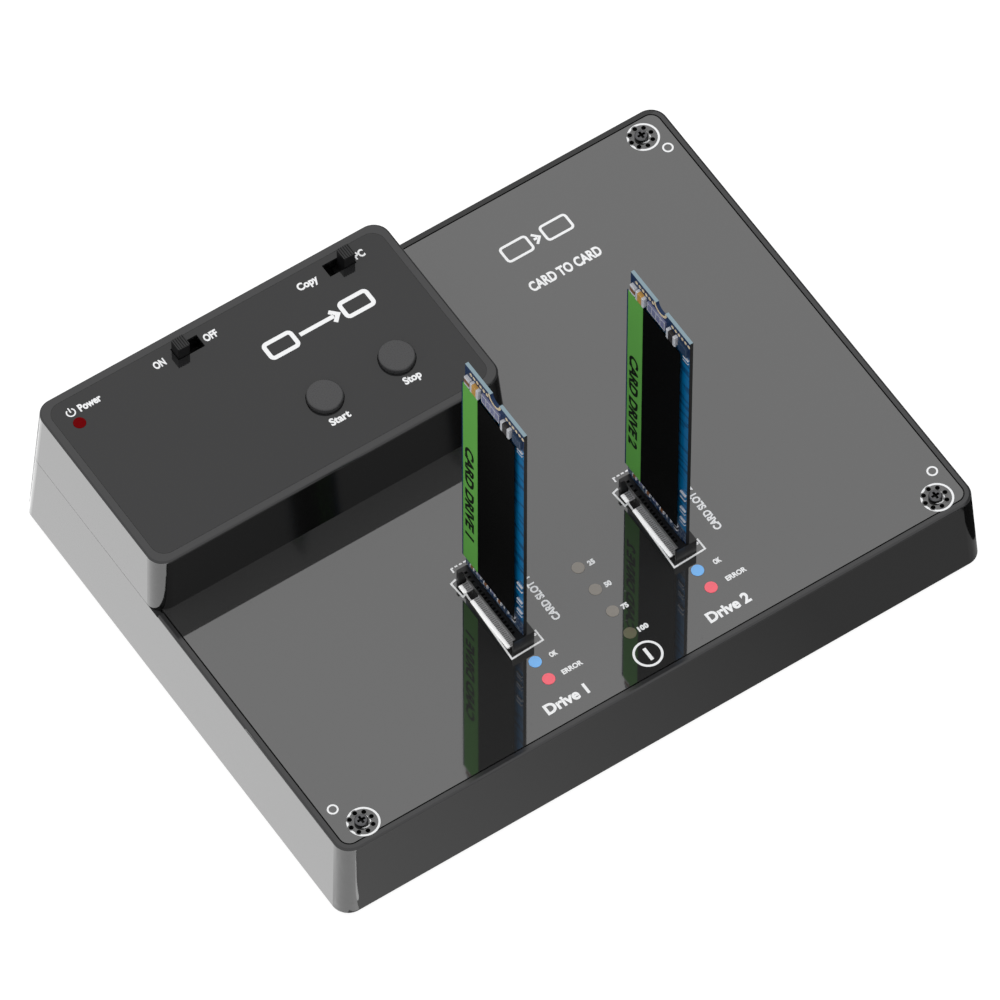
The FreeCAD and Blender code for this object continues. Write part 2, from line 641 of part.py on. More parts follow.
def is_slanting(edge):
    """True for an edge of a drafted block that runs from its foot to its top."""
    box = edge.BoundBox
    return box.ZLength > 0.001


# Base

def make_base_tray():
    """The tray: drafted walls, a ledge for the board, posts, screw sleeves and ports."""
    body = new_body("base_tray")
    spread = f"({s('base_height')} * {SLOPE})"
    outline = new_sketch(body, "outline", BASE_BOTTOM)
    rectangle(outline, f"-{RIM_X} - {spread}", f"{RIM_X} + {spread}",
              f"-{RIM_Y} - {spread}", f"{RIM_Y} + {spread}")
    drafted_block(body, outline, s("base_height"))
    fillet(body, s("rim_round"), lambda edge: at_height(edge, value(BOARD_TOP)))

    # The rim is lowered where the control housing stands on it.
    rebate = new_sketch(body, "rebate", BOARD_TOP)
    past = f"2 * {s('base_wall')}"
    rectangle(rebate, f"-{RIM_X} - {past}", f"{HOUSE_RIGHT} + {HOUSE_DRAFT} + {s('seam_gap')}",
              f"{HOUSE_FRONT} - {HOUSE_DRAFT} - {s('seam_gap')}", f"{RIM_Y} + {past}")
    pocket(body, rebate, s("house_lap"))
    seat = new_sketch(body, "board_seat", BOARD_TOP)
    rim_outline(seat, s("rim_lip"))
    pocket(body, seat, s("board_thickness"))
    cavity = new_sketch(body, "cavity", BOARD_BOTTOM)
    rim_outline(cavity, s("base_wall"))
    inner_height = f"({BOARD_BOTTOM} - {FLOOR_TOP})"
    pocket(body, cavity, inner_height, draft=f"-{s('core_draft')}")

    half_rib = f"{s('rib_thickness')} / 2"
    reach_x = f"({RIM_X} - {s('base_wall')} / 2)"
    reach_y = f"({RIM_Y} - {s('base_wall')} / 2)"
    lengthwise = new_sketch(body, "ribs_along_x", FLOOR_TOP)
    crosswise = new_sketch(body, "ribs_along_y", FLOOR_TOP)
    for side in (-1, 1):
        middle_y = f"{side} * {s('rib_pitch_y')} / 2"
        rectangle(lengthwise, f"-{reach_x}", reach_x,
                  f"{middle_y} - {half_rib}", f"{middle_y} + {half_rib}")
        middle_x = f"{side} * {s('rib_pitch_x')} / 2"
        rectangle(crosswise, f"{middle_x} - {half_rib}", f"{middle_x} + {half_rib}",
                  f"-{reach_y}", reach_y)
    pad(body, lengthwise, s("rib_height"))
    pad(body, crosswise, s("rib_height"))

    posts = new_sketch(body, "posts", FLOOR_TOP)
    circles(posts, POSTS, s("post_radius"))
    pad(body, posts, inner_height)
    sleeves = new_sketch(body, "sleeves", FLOOR_TOP)
    circles(sleeves, COLUMNS, s("sleeve_radius"))
    pad(body, sleeves, inner_height)

    pilots = new_sketch(body, "pilots", BOARD_BOTTOM)
    circles(pilots, POSTS, f"{s('small_screw_radius')} + {s('pilot_gap')}")
    pocket(body, pilots, f"{s('small_screw_length')} - {s('board_thickness')} + {s('pilot_spare')}")
    heads = new_sketch(body, "head_bores", BASE_BOTTOM)
    circles(heads, COLUMNS, f"{s('long_head_radius')} + {s('sleeve_clearance')}")
    below_web = f"({BOARD_BOTTOM} - {s('sleeve_web')} - {BASE_BOTTOM})"
    pocket(body, heads, below_web, along_normal=True)
    shanks = new_sketch(body, "shank_bores", BASE_BOTTOM)
    circles(shanks, COLUMNS, f"{s('long_screw_radius')} + {s('screw_clearance')}")
    pocket(body, shanks, f"{BOARD_BOTTOM} - {BASE_BOTTOM}", along_normal=True)
    feet = new_sketch(body, "foot_seats", BASE_BOTTOM)
    circles(feet, FEET, f"{s('foot_radius')} + {s('foot_clearance')}")
    pocket(body, feet, s("foot_recess"), along_normal=True)

    ports = new_sketch(body, "ports", f"-({RIM_Y} + {past})", "XZ_Plane")
    gap = s("port_opening_gap")
    for x, width, height in ((JACK_X, s("jack_width"), s("jack_height")),
                             (PORT_X, s("port_width"), s("port_height"))):
        half = f"({width} / 2 + {gap})"
        rectangle(ports, f"{x} - {half}", f"{x} + {half}",
                  f"{BOARD_BOTTOM} - {height} - {gap}", BOARD_BOTTOM)
    pocket(body, ports, f"{past} + 2 * {s('base_wall')}", along_normal=True)


def make_rubber_feet():
    """Four round feet, each half sunk in its seat."""
    foot = new_body("rubber_foot", kept=False)
    profile = new_sketch(foot, "profile", "0", "XZ_Plane")
    top = f"{s('foot_height')} + {s('foot_recess')}"
    narrow = f"{s('foot_radius')} - {s('foot_chamfer')}"
    polygon(profile, [("0", "0"), (narrow, "0"), (s("foot_radius"), s("foot_chamfer")),
                      (s("foot_radius"), top), ("0", top)])
    revolve(foot, profile)
    copies("rubber_feet", foot, FEET)


# Main board and screws

def make_main_board():
    """The board that closes the tray, with its holes."""
    body = new_body("main_board")
    outline = new_sketch(body, "outline", BOARD_BOTTOM)
    rim_outline(outline, f"({s('rim_lip')} + {s('rim_gap')})")
    pad(body, outline, s("board_thickness"))
    holes = new_sketch(body, "holes", BOARD_TOP)
    circles(holes, POSTS, f"{s('small_screw_radius')} + {s('screw_clearance')}")
    circles(holes, COLUMNS, f"{s('long_screw_radius')} + {s('screw_clearance')}")
    lamps = PROGRESS_LAMPS + READY_LAMPS + ERROR_LAMPS
    circles(holes, lamps, f"{s('lamp_radius')} + {s('lamp_gap')}")
    circles(holes, LINK_PINS, s("link_hole_radius"))
    pocket(body, holes, s("board_thickness"))


def make_screw(label, seat, up, shank, head, recess):
    """A screw with a bevelled head and a cross recess. Its head points up or down from its seat."""
    shank_radius, length = shank
    head_radius, head_height = head
    recess_length, recess_width, recess_depth = recess
    sign = "+" if up else "-"
    back = "-" if up else "+"
    tip = f"({seat} {back} {length})"
    crown = f"({seat} {sign} {head_height})"
    body = new_body(label, kept=False)
    profile = new_sketch(body, "profile", "0", "XZ_Plane")
    corners = [("0", tip), (f"{shank_radius} - {s('screw_tip')}", tip),
               (shank_radius, f"{tip} {sign} {s('screw_tip')}"), (shank_radius, seat),
               (head_radius, seat), (head_radius, f"{crown} {back} {s('head_bevel')}"),
               (f"{head_radius} - {s('head_bevel')}", crown), ("0", crown)]
    polygon(profile, corners)
    revolve(body, profile)
    slots = new_sketch(body, "recess", crown)
    cross(slots, recess_length, recess_width)
    pocket(body, slots, recess_depth, along_normal=not up)
    return body


def make_screws():
    """Board screws from above, housing screws and control board screws from below."""
    small_head = (s("small_head_radius"), s("small_head_height"))
    small_recess = (s("small_recess_length"), s("small_recess_width"), s("small_recess_depth"))
    board_screw = make_screw("board_screw", BOARD_TOP, True,
                             (s("small_screw_radius"), s("small_screw_length")),
                             small_head, small_recess)
    copies("board_screws", board_screw, POSTS)
    hanger_screw = make_screw("hanger_screw", CONTROL_BOTTOM, False,
                              (s("small_screw_radius"), s("hanger_screw_length")),
                              small_head, small_recess)
    copies("control_board_screws", hanger_screw, HANGERS)
    seat = f"({BOARD_BOTTOM} - {s('sleeve_web')})"
    length = f"({s('sleeve_web')} + {s('board_thickness')} + {s('long_screw_bite')})"
    long_recess = (s("long_recess_length"), s("long_recess_width"), s("long_recess_depth"))
    long_screw = make_screw("long_screw", seat, False, (s("long_screw_radius"), length),
                            (s("long_head_radius"), s("long_head_height")), long_recess)
    copies("housing_screws", long_screw, COLUMNS)


# Control housing

def make_control_housing():
    """The raised shell: drafted walls that lap the lowered rim, columns, bosses and openings."""
    body = new_body("control_housing")
    full_height = f"({HOUSE_TOP} - {HOUSE_BOTTOM})"
    outline = new_sketch(body, "outline", HOUSE_BOTTOM)
    rectangle(outline, *house_sides(f"{full_height} * {SLOPE}"))
    drafted_block(body, outline, full_height)
    fillet(body, s("house_round"), lambda edge: at_height(edge, value(HOUSE_TOP)))

    # Inside the rim the walls end on the main board.
    trim = new_sketch(body, "trim", HOUSE_BOTTOM)
    rim_outline(trim, s("rim_lip"))
    pocket(body, trim, f"{BOARD_TOP} - {HOUSE_BOTTOM}", along_normal=True)
    cavity = new_sketch(body, "cavity", BOARD_TOP)
    rounded_rectangle(cavity, *house_sides(f"({HOUSE_DRAFT} - {s('house_wall')})"),
                      f"{s('base_corner')} - {s('house_wall')}")
    inner_height = f"({HOUSE_UNDER} - {BOARD_TOP})"
    pocket(body, cavity, inner_height, along_normal=True, draft=f"-{s('draft_angle')}")

    columns = new_sketch(body, "columns", BOARD_TOP)
    circles(columns, COLUMNS, s("column_radius"))
    pad(body, columns, inner_height)
    hangers = new_sketch(body, "hangers", CONTROL_TOP)
    circles(hangers, HANGERS, s("hanger_radius"))
    pad(body, hangers, s("control_drop"))
    column_pilots = new_sketch(body, "column_pilots", BOARD_TOP)
    circles(column_pilots, COLUMNS, f"{s('long_screw_radius')} + {s('pilot_gap')}")
    pocket(body, column_pilots, f"{s('long_screw_bite')} + {s('pilot_spare')}", along_normal=True)
    hanger_pilots = new_sketch(body, "hanger_pilots", CONTROL_TOP)
    circles(hanger_pilots, HANGERS, f"{s('small_screw_radius')} + {s('pilot_gap')}")
    bite = f"{s('hanger_screw_length')} - {s('control_thickness')} + {s('pilot_spare')}"
    pocket(body, hanger_pilots, bite, along_normal=True)

    recess = new_sketch(body, "fascia_recess", HOUSE_TOP)
    fascia_outline(recess, "0")
    pocket(body, recess, s("fascia_thickness"))
    openings = new_sketch(body, "openings", HOUSE_TOP)
    control_openings(openings)
    pocket(body, openings, s("house_top_wall"))


def fascia_outline(sketch, clearance):
    """The outline of the fascia, or of its recess when the clearance is none."""
    inset = f"({s('fascia_frame')} + {clearance})"
    rounded_rectangle(sketch, *house_sides(f"-{inset}"), f"{s('fascia_corner')} - {clearance}")


def control_openings(sketch):
    """Two switch slots, two round button holes and the hole of the power lamp."""
    for x, y in SLOTS:
        centred_rectangle(sketch, x, y, s("slot_length"), s("slot_width"))
    circles(sketch, BUTTONS, f"{s('button_radius')} + {s('button_gap')}")
    circle(sketch, POWER_LAMP_X, POWER_LAMP_Y, f"{s('power_lamp_radius')} + {s('lamp_gap')}")


def make_control_fascia():
    """The glossy panel in the housing's top, flush with its border."""
    body = new_body("control_fascia")
    outline = new_sketch(body, "outline", f"{HOUSE_TOP} - {s('fascia_thickness')}")
    fascia_outline(outline, s("fascia_clearance"))
    pad(body, outline, s("fascia_thickness"))
    openings = new_sketch(body, "openings", HOUSE_TOP)
    control_openings(openings)
    pocket(body, openings, s("fascia_thickness"))


def make_control_board():
    """The board below the fascia, cut out round the left back column."""
    body = new_body("control_board")
    outline = new_sketch(body, "outline", CONTROL_BOTTOM)
    back_edge = from_back("control_back")
    rounded_rectangle(outline, from_left("control_left"), from_right("control_right"),
                      from_front("control_front"), back_edge, s("control_corner"))
    pad(body, outline, s("control_thickness"))
    column_x, column_y = COLUMNS[-1]
    reach = f"({s('column_radius')} + {s('column_clearance')})"
    notch = new_sketch(body, "notch", CONTROL_TOP)
    rectangle(notch, f"{column_x} - {reach}", f"{column_x} + {reach}",
              column_y, f"{back_edge} + {s('control_corner')}")
    pocket(body, notch, s("control_thickness"))
    round_end = new_sketch(body, "notch_end", CONTROL_TOP)
    circle(round_end, column_x, column_y, reach)
    pocket(body, round_end, s("control_thickness"))
    holes = new_sketch(body, "holes", CONTROL_TOP)
    circles(holes, HANGERS, f"{s('small_screw_radius')} + {s('screw_clearance')}")
    circles(holes, LINK_PINS, s("link_hole_radius"))
    pocket(body, holes, s("control_thickness"))


# Switches and buttons

def make_slide_switch(name, slot_x, rest_side):
    """A switch case with an open top, and the knob whose carriage slides in it."""
    case = new_body(f"{name}_switch_body")
    cavity_length = f"({s('slot_length')} + 2 * {s('carriage_lip')})"
    cavity_width = f"({s('carriage_width')} + 2 * {s('knob_gap')})"
    outline = new_sketch(case, "outline", CONTROL_TOP)
    centred_rectangle(outline, "0", "0", f"({cavity_length} + 2 * {s('switch_wall')})",
                      f"({cavity_width} + 2 * {s('switch_wall')})")
    pad(case, outline, s("switch_height"))
    cavity = new_sketch(case, "cavity", f"{CONTROL_TOP} + {s('switch_height')}")
    centred_rectangle(cavity, "0", "0", cavity_length, cavity_width)
    pocket(case, cavity, s("switch_cavity_depth"))
    place(case, slot_x, SLOT_Y)

    knob = new_body(f"{name}_switch_knob")
    bottom = f"({SWITCH_FLOOR} + {s('knob_gap')})"
    top = f"({HOUSE_TOP} + {s('knob_height')})"
    stem = new_sketch(knob, "stem", bottom)
    knob_width = f"({s('slot_width')} - 2 * {s('knob_gap')})"
    centred_rectangle(stem, "0", "0", s("knob_length"), knob_width)
    pad(knob, stem, f"{top} - {bottom}")
    fillet(knob, s("knob_round"), is_upright)
    grooves = new_sketch(knob, "grooves", top)
    for step in (-2, -1, 0, 1, 2):
        centred_rectangle(grooves, f"{step} * {s('knob_ridge_pitch')}", "0",
                          s("knob_groove_width"), f"(2 * {knob_width})")
    pocket(knob, grooves, s("knob_groove_depth"))
    carriage = new_sketch(knob, "carriage", bottom)
    carriage_length = f"({s('knob_length')} + 2 * {s('carriage_lip')})"
    centred_rectangle(carriage, "0", "0", carriage_length, s("carriage_width"))
    pad(knob, carriage, s("carriage_thickness"))
    place(knob, f"{slot_x} + {rest_side} * {KNOB_TRAVEL} / 2", SLOT_Y)


def make_push_switch(name, x):
    """A push switch's bored case, its plunger, and the hollow button on top."""
    case = new_body(f"{name}_switch_body")
    half = f"{s('tact_width')} / 2"
    outline = new_sketch(case, "outline", CONTROL_TOP)
    rounded_rectangle(outline, f"-{half}", half, f"-{half}", half, s("tact_corner"))
    pad(case, outline, s("tact_height"))
    bore = new_sketch(case, "bore", f"{CONTROL_TOP} + {s('tact_height')}")
    circle(bore, "0", "0", f"{s('plunger_radius')} + {s('plunger_gap')}")
    pocket(case, bore, s("tact_bore_depth"))
    place(case, x, BUTTON_Y)

    bore_floor = f"({CONTROL_TOP} + {s('tact_height')} - {s('tact_bore_depth')})"
    foot = f"({bore_floor} + {s('button_travel')} + {s('plunger_spare')})"
    plunger = cylinder(f"{name}_button_plunger", x, BUTTON_Y, foot,
                       s("plunger_radius"), f"{FLANGE_BOTTOM} - {foot}")
    pieces.append(plunger)

    cap = new_body(f"{name}_button_cap")
    profile = new_sketch(cap, "profile", "0", "XZ_Plane")
    top = f"({HOUSE_TOP} + {s('button_height')})"
    ceiling = f"({top} - {s('button_top_wall')})"
    inside = f"({s('button_radius')} - {s('button_wall')})"
    flange = f"({s('button_radius')} + {s('button_flange')})"
    polygon(profile, [("0", FLANGE_BOTTOM), (s("plunger_radius"), FLANGE_BOTTOM),
                      (s("plunger_radius"), ceiling), (inside, ceiling), (inside, FLANGE_BOTTOM),
                      (flange, FLANGE_BOTTOM), (flange, FLANGE_TOP),
                      (s("button_radius"), FLANGE_TOP), (s("button_radius"), top), ("0", top)])
    revolve(cap, profile)
    fillet(cap, s("button_round"), lambda edge: at_height(edge, value(top)))
    place(cap, x, BUTTON_Y)


# Lamps

def make_lens(label, radius, seat, top, kept):
    """A round lens with a flange that lies against the underside of what it looks through."""
    body = new_body(label, kept)
    profile = new_sketch(body, "profile", "0", "XZ_Plane")
    rim = f"{radius} + {s('lamp_flange')}"
    foot = f"{seat} - {s('lamp_flange')}"
    polygon(profile, [("0", foot), (rim, foot), (rim, seat), (radius, seat), (radius, top), ("0", top)])
    revolve(body, profile)
    return body


def make_lamps():
    """The power lamp in the fascia, and the lamps in the main board."""
    lens = make_lens("power_lens", s("power_lamp_radius"), HOUSE_UNDER,
                     f"{HOUSE_TOP} + {s('lamp_proud')}", True)
    place(lens, POWER_LAMP_X, POWER_LAMP_Y)
    source_sizes = (s("power_chip_length"), s("power_chip_width"), s("power_chip_height"))
    source = block("power_led", POWER_LAMP_X, POWER_LAMP_Y, CONTROL_TOP, source_sizes)
    pieces.append(source)
    lamp = make_lens("board_lamp", s("lamp_radius"), BOARD_BOTTOM,
                     f"{BOARD_TOP} + {s('lamp_proud')}", False)
    copies("progress_leds", lamp, PROGRESS_LAMPS)
    copies("ready_leds", lamp, READY_LAMPS)
    copies("error_leds", lamp, ERROR_LAMPS)


# Sockets and drives

def make_socket_housing(number, side):
    """An edge socket: end walls, a slot with its key rib, and shelves with contact openings."""
    body = new_body(f"socket_{number}_housing")
    half_width = f"({s('socket_width')} / 2)"
    left = f"({s('card_shift')} - {half_width})"
    right = f"({s('card_shift')} + {half_width})"
    wing = f"({left} - {s('wing_reach')})"
    back_wing = f"({SOCKET_BACK} - {s('back_wing')})"
    front_wing = f"({SOCKET_FRONT} + {s('front_wing')})"
    outline = new_sketch(body, "outline", BOARD_TOP)
    polygon(outline, [(wing, SOCKET_FRONT), (right, SOCKET_FRONT), (right, SOCKET_BACK),
                      (wing, SOCKET_BACK), (wing, back_wing), (left, back_wing),
                      (left, front_wing), (wing, front_wing)])
    pad(body, outline, s("socket_height"))
    fillet(body, s("socket_round"), is_upright)

    slot_left = f"({s('card_shift')} - {HALF_SLOT})"
    slot_right = f"({s('card_shift')} + {HALF_SLOT})"
    half_tongue = f"({s('tongue_width')} / 2 + {s('card_gap')})"
    front = f"{s('card_y')} - {half_tongue}"
    back = f"{s('card_y')} + {half_tongue}"
    mouth = new_sketch(body, "mouth", SOCKET_TOP)
    rectangle(mouth, slot_left, slot_right, front, back)
    pocket(body, mouth, s("key_rib_drop"))
    half_rib = f"({s('key_width')} / 2 - {s('card_gap')})"
    slot = new_sketch(body, "slot", SOCKET_TOP)
    rectangle(slot, slot_left, slot_right, front, f"{KEY_Y} - {half_rib}")
    rectangle(slot, slot_left, slot_right, f"{KEY_Y} + {half_rib}", back)
    pocket(body, slot, f"{s('tongue_length')} - {s('shoulder_gap')} + {s('card_gap')}")

    # Below its shelves the socket is only as wide as its slot's walls.
    undercuts = new_sketch(body, "undercuts", BOARD_TOP)
    rectangle(undercuts, wing, f"{slot_left} - {s('slot_wall')}", front_wing, back_wing)
    rectangle(undercuts, f"{slot_right} + {s('slot_wall')}", f"{right} + {s('wing_reach')}",
              front_wing, back_wing)
    pocket(body, undercuts, f"{SHELF_UNDER} - {BOARD_TOP}", along_normal=True)

    for name, count, _ in SOCKET_ROWS:
        first = f"({s('card_y')} + {s(f'{name}_row_opening')})"
        opening = new_sketch(body, f"{name}_row", SOCKET_TOP)
        centred_rectangle(opening, f"{s('card_shift')} - {s('cavity_offset')}", first,
                          s("cavity_length"), s("cavity_width"))
        row(body, pocket(body, opening, s("cavity_depth")), count, s(f"{name}_row_pitch"))
    place(body, f"{side} * {s('bay_x')}")


def make_socket_contacts(number, side):
    """The contact tails on both sides of a socket: upright on its wall, then flat on the board."""
    body = new_body(f"socket_{number}_contacts")
    body.AllowCompound = True
    top = f"({SHELF_UNDER} - {s('tail_gap')})"
    foot = f"({BOARD_TOP} + {s('tail_thickness')})"
    wall = f"({HALF_SLOT} + {s('slot_wall')})"
    outside = f"({wall} + {s('tail_thickness')})"
    strip = [(wall, top), (outside, top), (outside, foot), (s("tail_reach"), foot),
             (s("tail_reach"), BOARD_TOP), (wall, BOARD_TOP)]
    for name, _, count in SOCKET_ROWS:
        first = f"({s('card_y')} + {s(f'{name}_row_tail')} + {s('tail_width')} / 2)"
        profile = new_sketch(body, f"{name}_row_tail", f"-{first}", "XZ_Plane")
        for direction in (-1, 1):
            polygon(profile, [(f"{s('card_shift')} + {direction} * ({x})", z) for x, z in strip])
        row(body, pad(body, profile, s("tail_width")), count, s("tail_pitch"))
    place(body, f"{side} * {s('bay_x')}")


def make_drive_board(number, side):
    """A card with its tongue, key notch and half-round notch."""
    body = new_body(f"drive_{number}_board")
    outline = new_sketch(body, "outline", CARD_FACE, "YZ_Plane")
    half = f"{s('card_width')} / 2"
    tongue = f"{s('tongue_width')} / 2"
    nick = s("tongue_chamfer")
    corners = [
        (f"-{tongue} + {nick}", "0"), (f"{tongue} - {nick}", "0"), (tongue, nick),
        (tongue, s("tongue_length")), (half, s("tongue_length")), (half, s("card_length")),
        (f"-{half}", s("card_length")), (f"-{half}", s("tongue_length")),
        (f"-{tongue}", s("tongue_length")), (f"-{tongue}", nick),
    ]
    polygon(outline, [(f"{s('card_y')} + {y}", f"{CARD_BOTTOM} + {z}") for y, z in corners])
    pad(body, outline, s("card_thickness"))
    cut_plane = f"{CARD_FACE} + {s('card_thickness')}"
    key = new_sketch(body, "key", cut_plane, "YZ_Plane")
    half_key = f"{s('key_width')} / 2"
    rectangle(key, f"{KEY_Y} - {half_key}", f"{KEY_Y} + {half_key}",
              f"{CARD_BOTTOM} - {nick}", f"{CARD_BOTTOM} + {s('key_depth')}")
    pocket(body, key, s("card_thickness"))
    half_hole = new_sketch(body, "half_hole", cut_plane, "YZ_Plane")
    circle(half_hole, s("card_y"), f"{CARD_BOTTOM} + {s('card_length')}", s("half_hole_radius"))
    pocket(body, half_hole, s("card_thickness"))
    place(body, f"{side} * {s('bay_x')}")


def on_card(label, side, across, along, sizes, lift="0"):
    """A block on the front of a card, about a point given from its middle and its contact edge."""
    width, length, height = sizes
    x = f"({side} * {s('bay_x')} + {CARD_FACE} - {lift} - {height} / 2)"
    bottom = f"{CARD_BOTTOM} + {along} - {length} / 2"
    return block(label, x, f"({s('card_y')} + {across})", bottom, (height, width, length))


def make_drive_parts(number, side):
    """The chips of a card, the label over them, and its small parts."""
    controller_sizes = (s("card_controller_side"), s("card_controller_side"), s("chip_thickness"))
    chips = [on_card(f"card_{number}_controller", side, "0", s("card_controller_along"),
                     controller_sizes)]
    for step in (0, 1):
        along = f"({s('memory_along')} + {step} * {s('memory_pitch')})"
        memory_sizes = (s("memory_width"), s("memory_length"), s("chip_thickness"))
        chips.append(on_card(f"card_{number}_memory_{step}", side, "0", along, memory_sizes))
    group(f"drive_{number}_chips", chips)

    label_sizes = (s("label_width"), s("label_length"), s("label_thickness"))
    across = f"({s('card_width')} / 2 - {s('label_width')} / 2)"
    along = f"({s('label_start')} + {s('label_length')} / 2)"
    label = on_card(f"drive_{number}_label", side, across, along, label_sizes, s("chip_thickness"))
    pieces.append(label)

    small = []
    for name, *_ in SMALL_PARTS:
        width, length, height = (s(f"{name}_{kind}") for kind in ("width", "length", "height"))
        small.append(on_card(f"card_{number}_{name}", side, s(f"{name}_across"), s(f"{name}_along"),
                             (width, length, height)))
    group(f"drive_{number}_components", small)


# Ports and inner parts

def make_power_inlet():
    """The round power inlet below the main board, open to the back, and its pin."""
    body = new_body("dc_jack_body")
    face = new_sketch(body, "face", f"-{RIM_Y}", "XZ_Plane")
    middle = f"({BOARD_BOTTOM} - {s('jack_height')} / 2)"
    centred_rectangle(face, JACK_X, middle, s("jack_width"), s("jack_height"))
    pad(body, face, s("jack_depth"))
    bore = new_sketch(body, "bore", f"-{RIM_Y}", "XZ_Plane")
    circle(bore, JACK_X, middle, s("jack_bore"))
    pocket(body, bore, s("jack_bore_depth"), along_normal=True)

    pin = new_body("dc_jack_pin")
    end = new_sketch(pin, "end", f"-({RIM_Y} - {s('jack_pin_recess')})", "XZ_Plane")
    circle(end, JACK_X, middle, s("jack_pin_radius"))
    pad(pin, end, f"{s('jack_bore_depth')} - {s('jack_pin_recess')}")


def port_outline(sketch, inset):
    """The data port's outline, moved inwards."""
    half = f"({s('port_width')} / 2 - {inset})"
    rounded_rectangle(sketch, f"{PORT_X} - {half}", f"{PORT_X} + {half}",
                      f"{BOARD_BOTTOM} - {s('port_height')} + {inset}", f"{BOARD_BOTTOM} - {inset}",
                      f"{s('port_corner')} - {inset}")


def make_data_port():
    """The data port's metal shell, and the block inside it that carries the tongue."""
    shell = new_body("usb_c_shell")
    face = new_sketch(shell, "face", f"-{RIM_Y}", "XZ_Plane")
    port_outline(face, "0")
    pad(shell, face, s("port_depth"))
    inside = new_sketch(shell, "inside", f"-{RIM_Y}", "XZ_Plane")
    port_outline(inside, s("port_wall"))
    pocket(shell, inside, s("port_depth"), along_normal=True)

    tongue = new_body("usb_c_tongue")
    block_face = f"({s('port_depth')} - {s('port_block')})"
    root = new_sketch(tongue, "root", f"-({RIM_Y} - {block_face})", "XZ_Plane")
    port_outline(root, s("port_wall"))
    pad(tongue, root, s("port_block"))
    blade = new_sketch(tongue, "blade", f"-({RIM_Y} - {s('port_tongue_recess')})", "XZ_Plane")
    middle = f"({BOARD_BOTTOM} - {s('port_height')} / 2)"
    centred_rectangle(blade, PORT_X, middle, s("port_tongue_width"), s("port_tongue"))
    pad(tongue, blade, f"{s('port_depth')} - {s('port_tongue_recess')}")


def make_board_link():
    """The header between the two boards, and its pins."""
    body = new_body("board_link")
    outline = new_sketch(body, "outline", BOARD_TOP)
    centred_rectangle(outline, LINK_X, LINK_Y, s("link_length"), s("link_width"))
    pad(body, outline, f"{CONTROL_BOTTOM} - {BOARD_TOP}")
    holes = new_sketch(body, "pin_holes", CONTROL_BOTTOM)
    for x, y in LINK_PINS:
        centred_rectangle(holes, x, y, s("link_pin_side"), s("link_pin_side"))
    pocket(body, holes, f"{CONTROL_BOTTOM} - {BOARD_TOP}")
    tail = s("link_tail")
    foot = f"({BOARD_BOTTOM} - {tail})"
    sizes = (s("link_pin_side"), s("link_pin_side"), f"({CONTROL_TOP} + {tail} - {foot})")
    group("board_link_pins", [block(f"link_pin_{number}", x, y, foot, sizes)
                              for number, (x, y) in enumerate(LINK_PINS, start=1)])


def make_inner_parts():
    """Chips, coils and capacitors on the underside of the main board."""
    def hung(label, x, y, side, height):
        return block(label, x, y, f"{BOARD_BOTTOM} - {height}", (side, side, height))

    chips = [hung("copy_controller", s("main_chip_x"), s("main_chip_y"), s("main_chip_side"),
                  s("package_height"))]
    for number, side in BAYS:
        chips.append(hung(f"bay_{number}_chip", f"{side} * {s('bay_x')}", s("chip_y"), s("chip_side"),
                          s("package_height")))
    group("controller_chips", chips)
    group("power_coils", [
        hung(f"power_coil_{step}", f"({COIL_X} - {step} * {s('coil_pitch')})",
             INNER_PART_Y, s("coil_side"), s("coil_height"))
        for step in (0, 1)
    ])
    group("capacitors", [
        cylinder(f"capacitor_{step}", f"{COIL_X} - {step} * {s('coil_pitch')}",
                 INNER_PART_Y, f"{BOARD_BOTTOM} - {s('capacitor_height')}",
                 s("capacitor_radius"), s("capacitor_height"))
        for step in (2, 3)
    ])


# The whole object

def make_all():
    """Every piece of the duplicator."""
    make_base_tray()
    make_rubber_feet()
    make_main_board()
    make_screws()
    make_control_housing()
    make_control_fascia()
    make_control_board()
    make_slide_switch("power", POWER_SLOT_X, -1)
    make_slide_switch("mode", MODE_SLOT_X, 1)
    make_push_switch("start", START_X)
    make_push_switch("stop", STOP_X)
    make_lamps()
    for number, side in BAYS:
        make_socket_housing(number, side)
        make_socket_contacts(number, side)
        make_drive_board(number, side)
        make_drive_parts(number, side)
    make_power_inlet()
    make_data_port()
    make_board_link()
    make_inner_parts()


def check_all():
    """Stops if anything failed, if a feature left nothing, or if a piece is not a valid solid."""
    for item in doc.Objects:
        if "Invalid" in item.State or "Error" in item.State:
            raise RuntimeError(f"{item.Name}: {item.State}")
        if item.isDerivedFrom("PartDesign::Feature") and item.Shape.Volume <= 0:
            raise RuntimeError(f"{item.Name} is empty")
    for piece in pieces:
        if piece.Shape.isNull() or not piece.Shape.isValid() or not piece.Shape.Solids:
            raise RuntimeError(f"{piece.Label} is not a valid solid")


def write_all():
    """Writes one file for each piece."""
    os.makedirs("parts", exist_ok=True)
    for piece in pieces:
        piece.Shape.exportStep(f"parts/{piece.Label}.step")


fill_sheet()
make_all()
doc.recompute()
check_all()
write_all()
print(len(pieces), "pieces")
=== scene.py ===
"""Looks of a two-bay drive duplicator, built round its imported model."""

import math

import bmesh
import bpy
import numpy as np
from bpy.props import FloatProperty, FloatVectorProperty, PointerProperty
from mathutils import Matrix, Vector


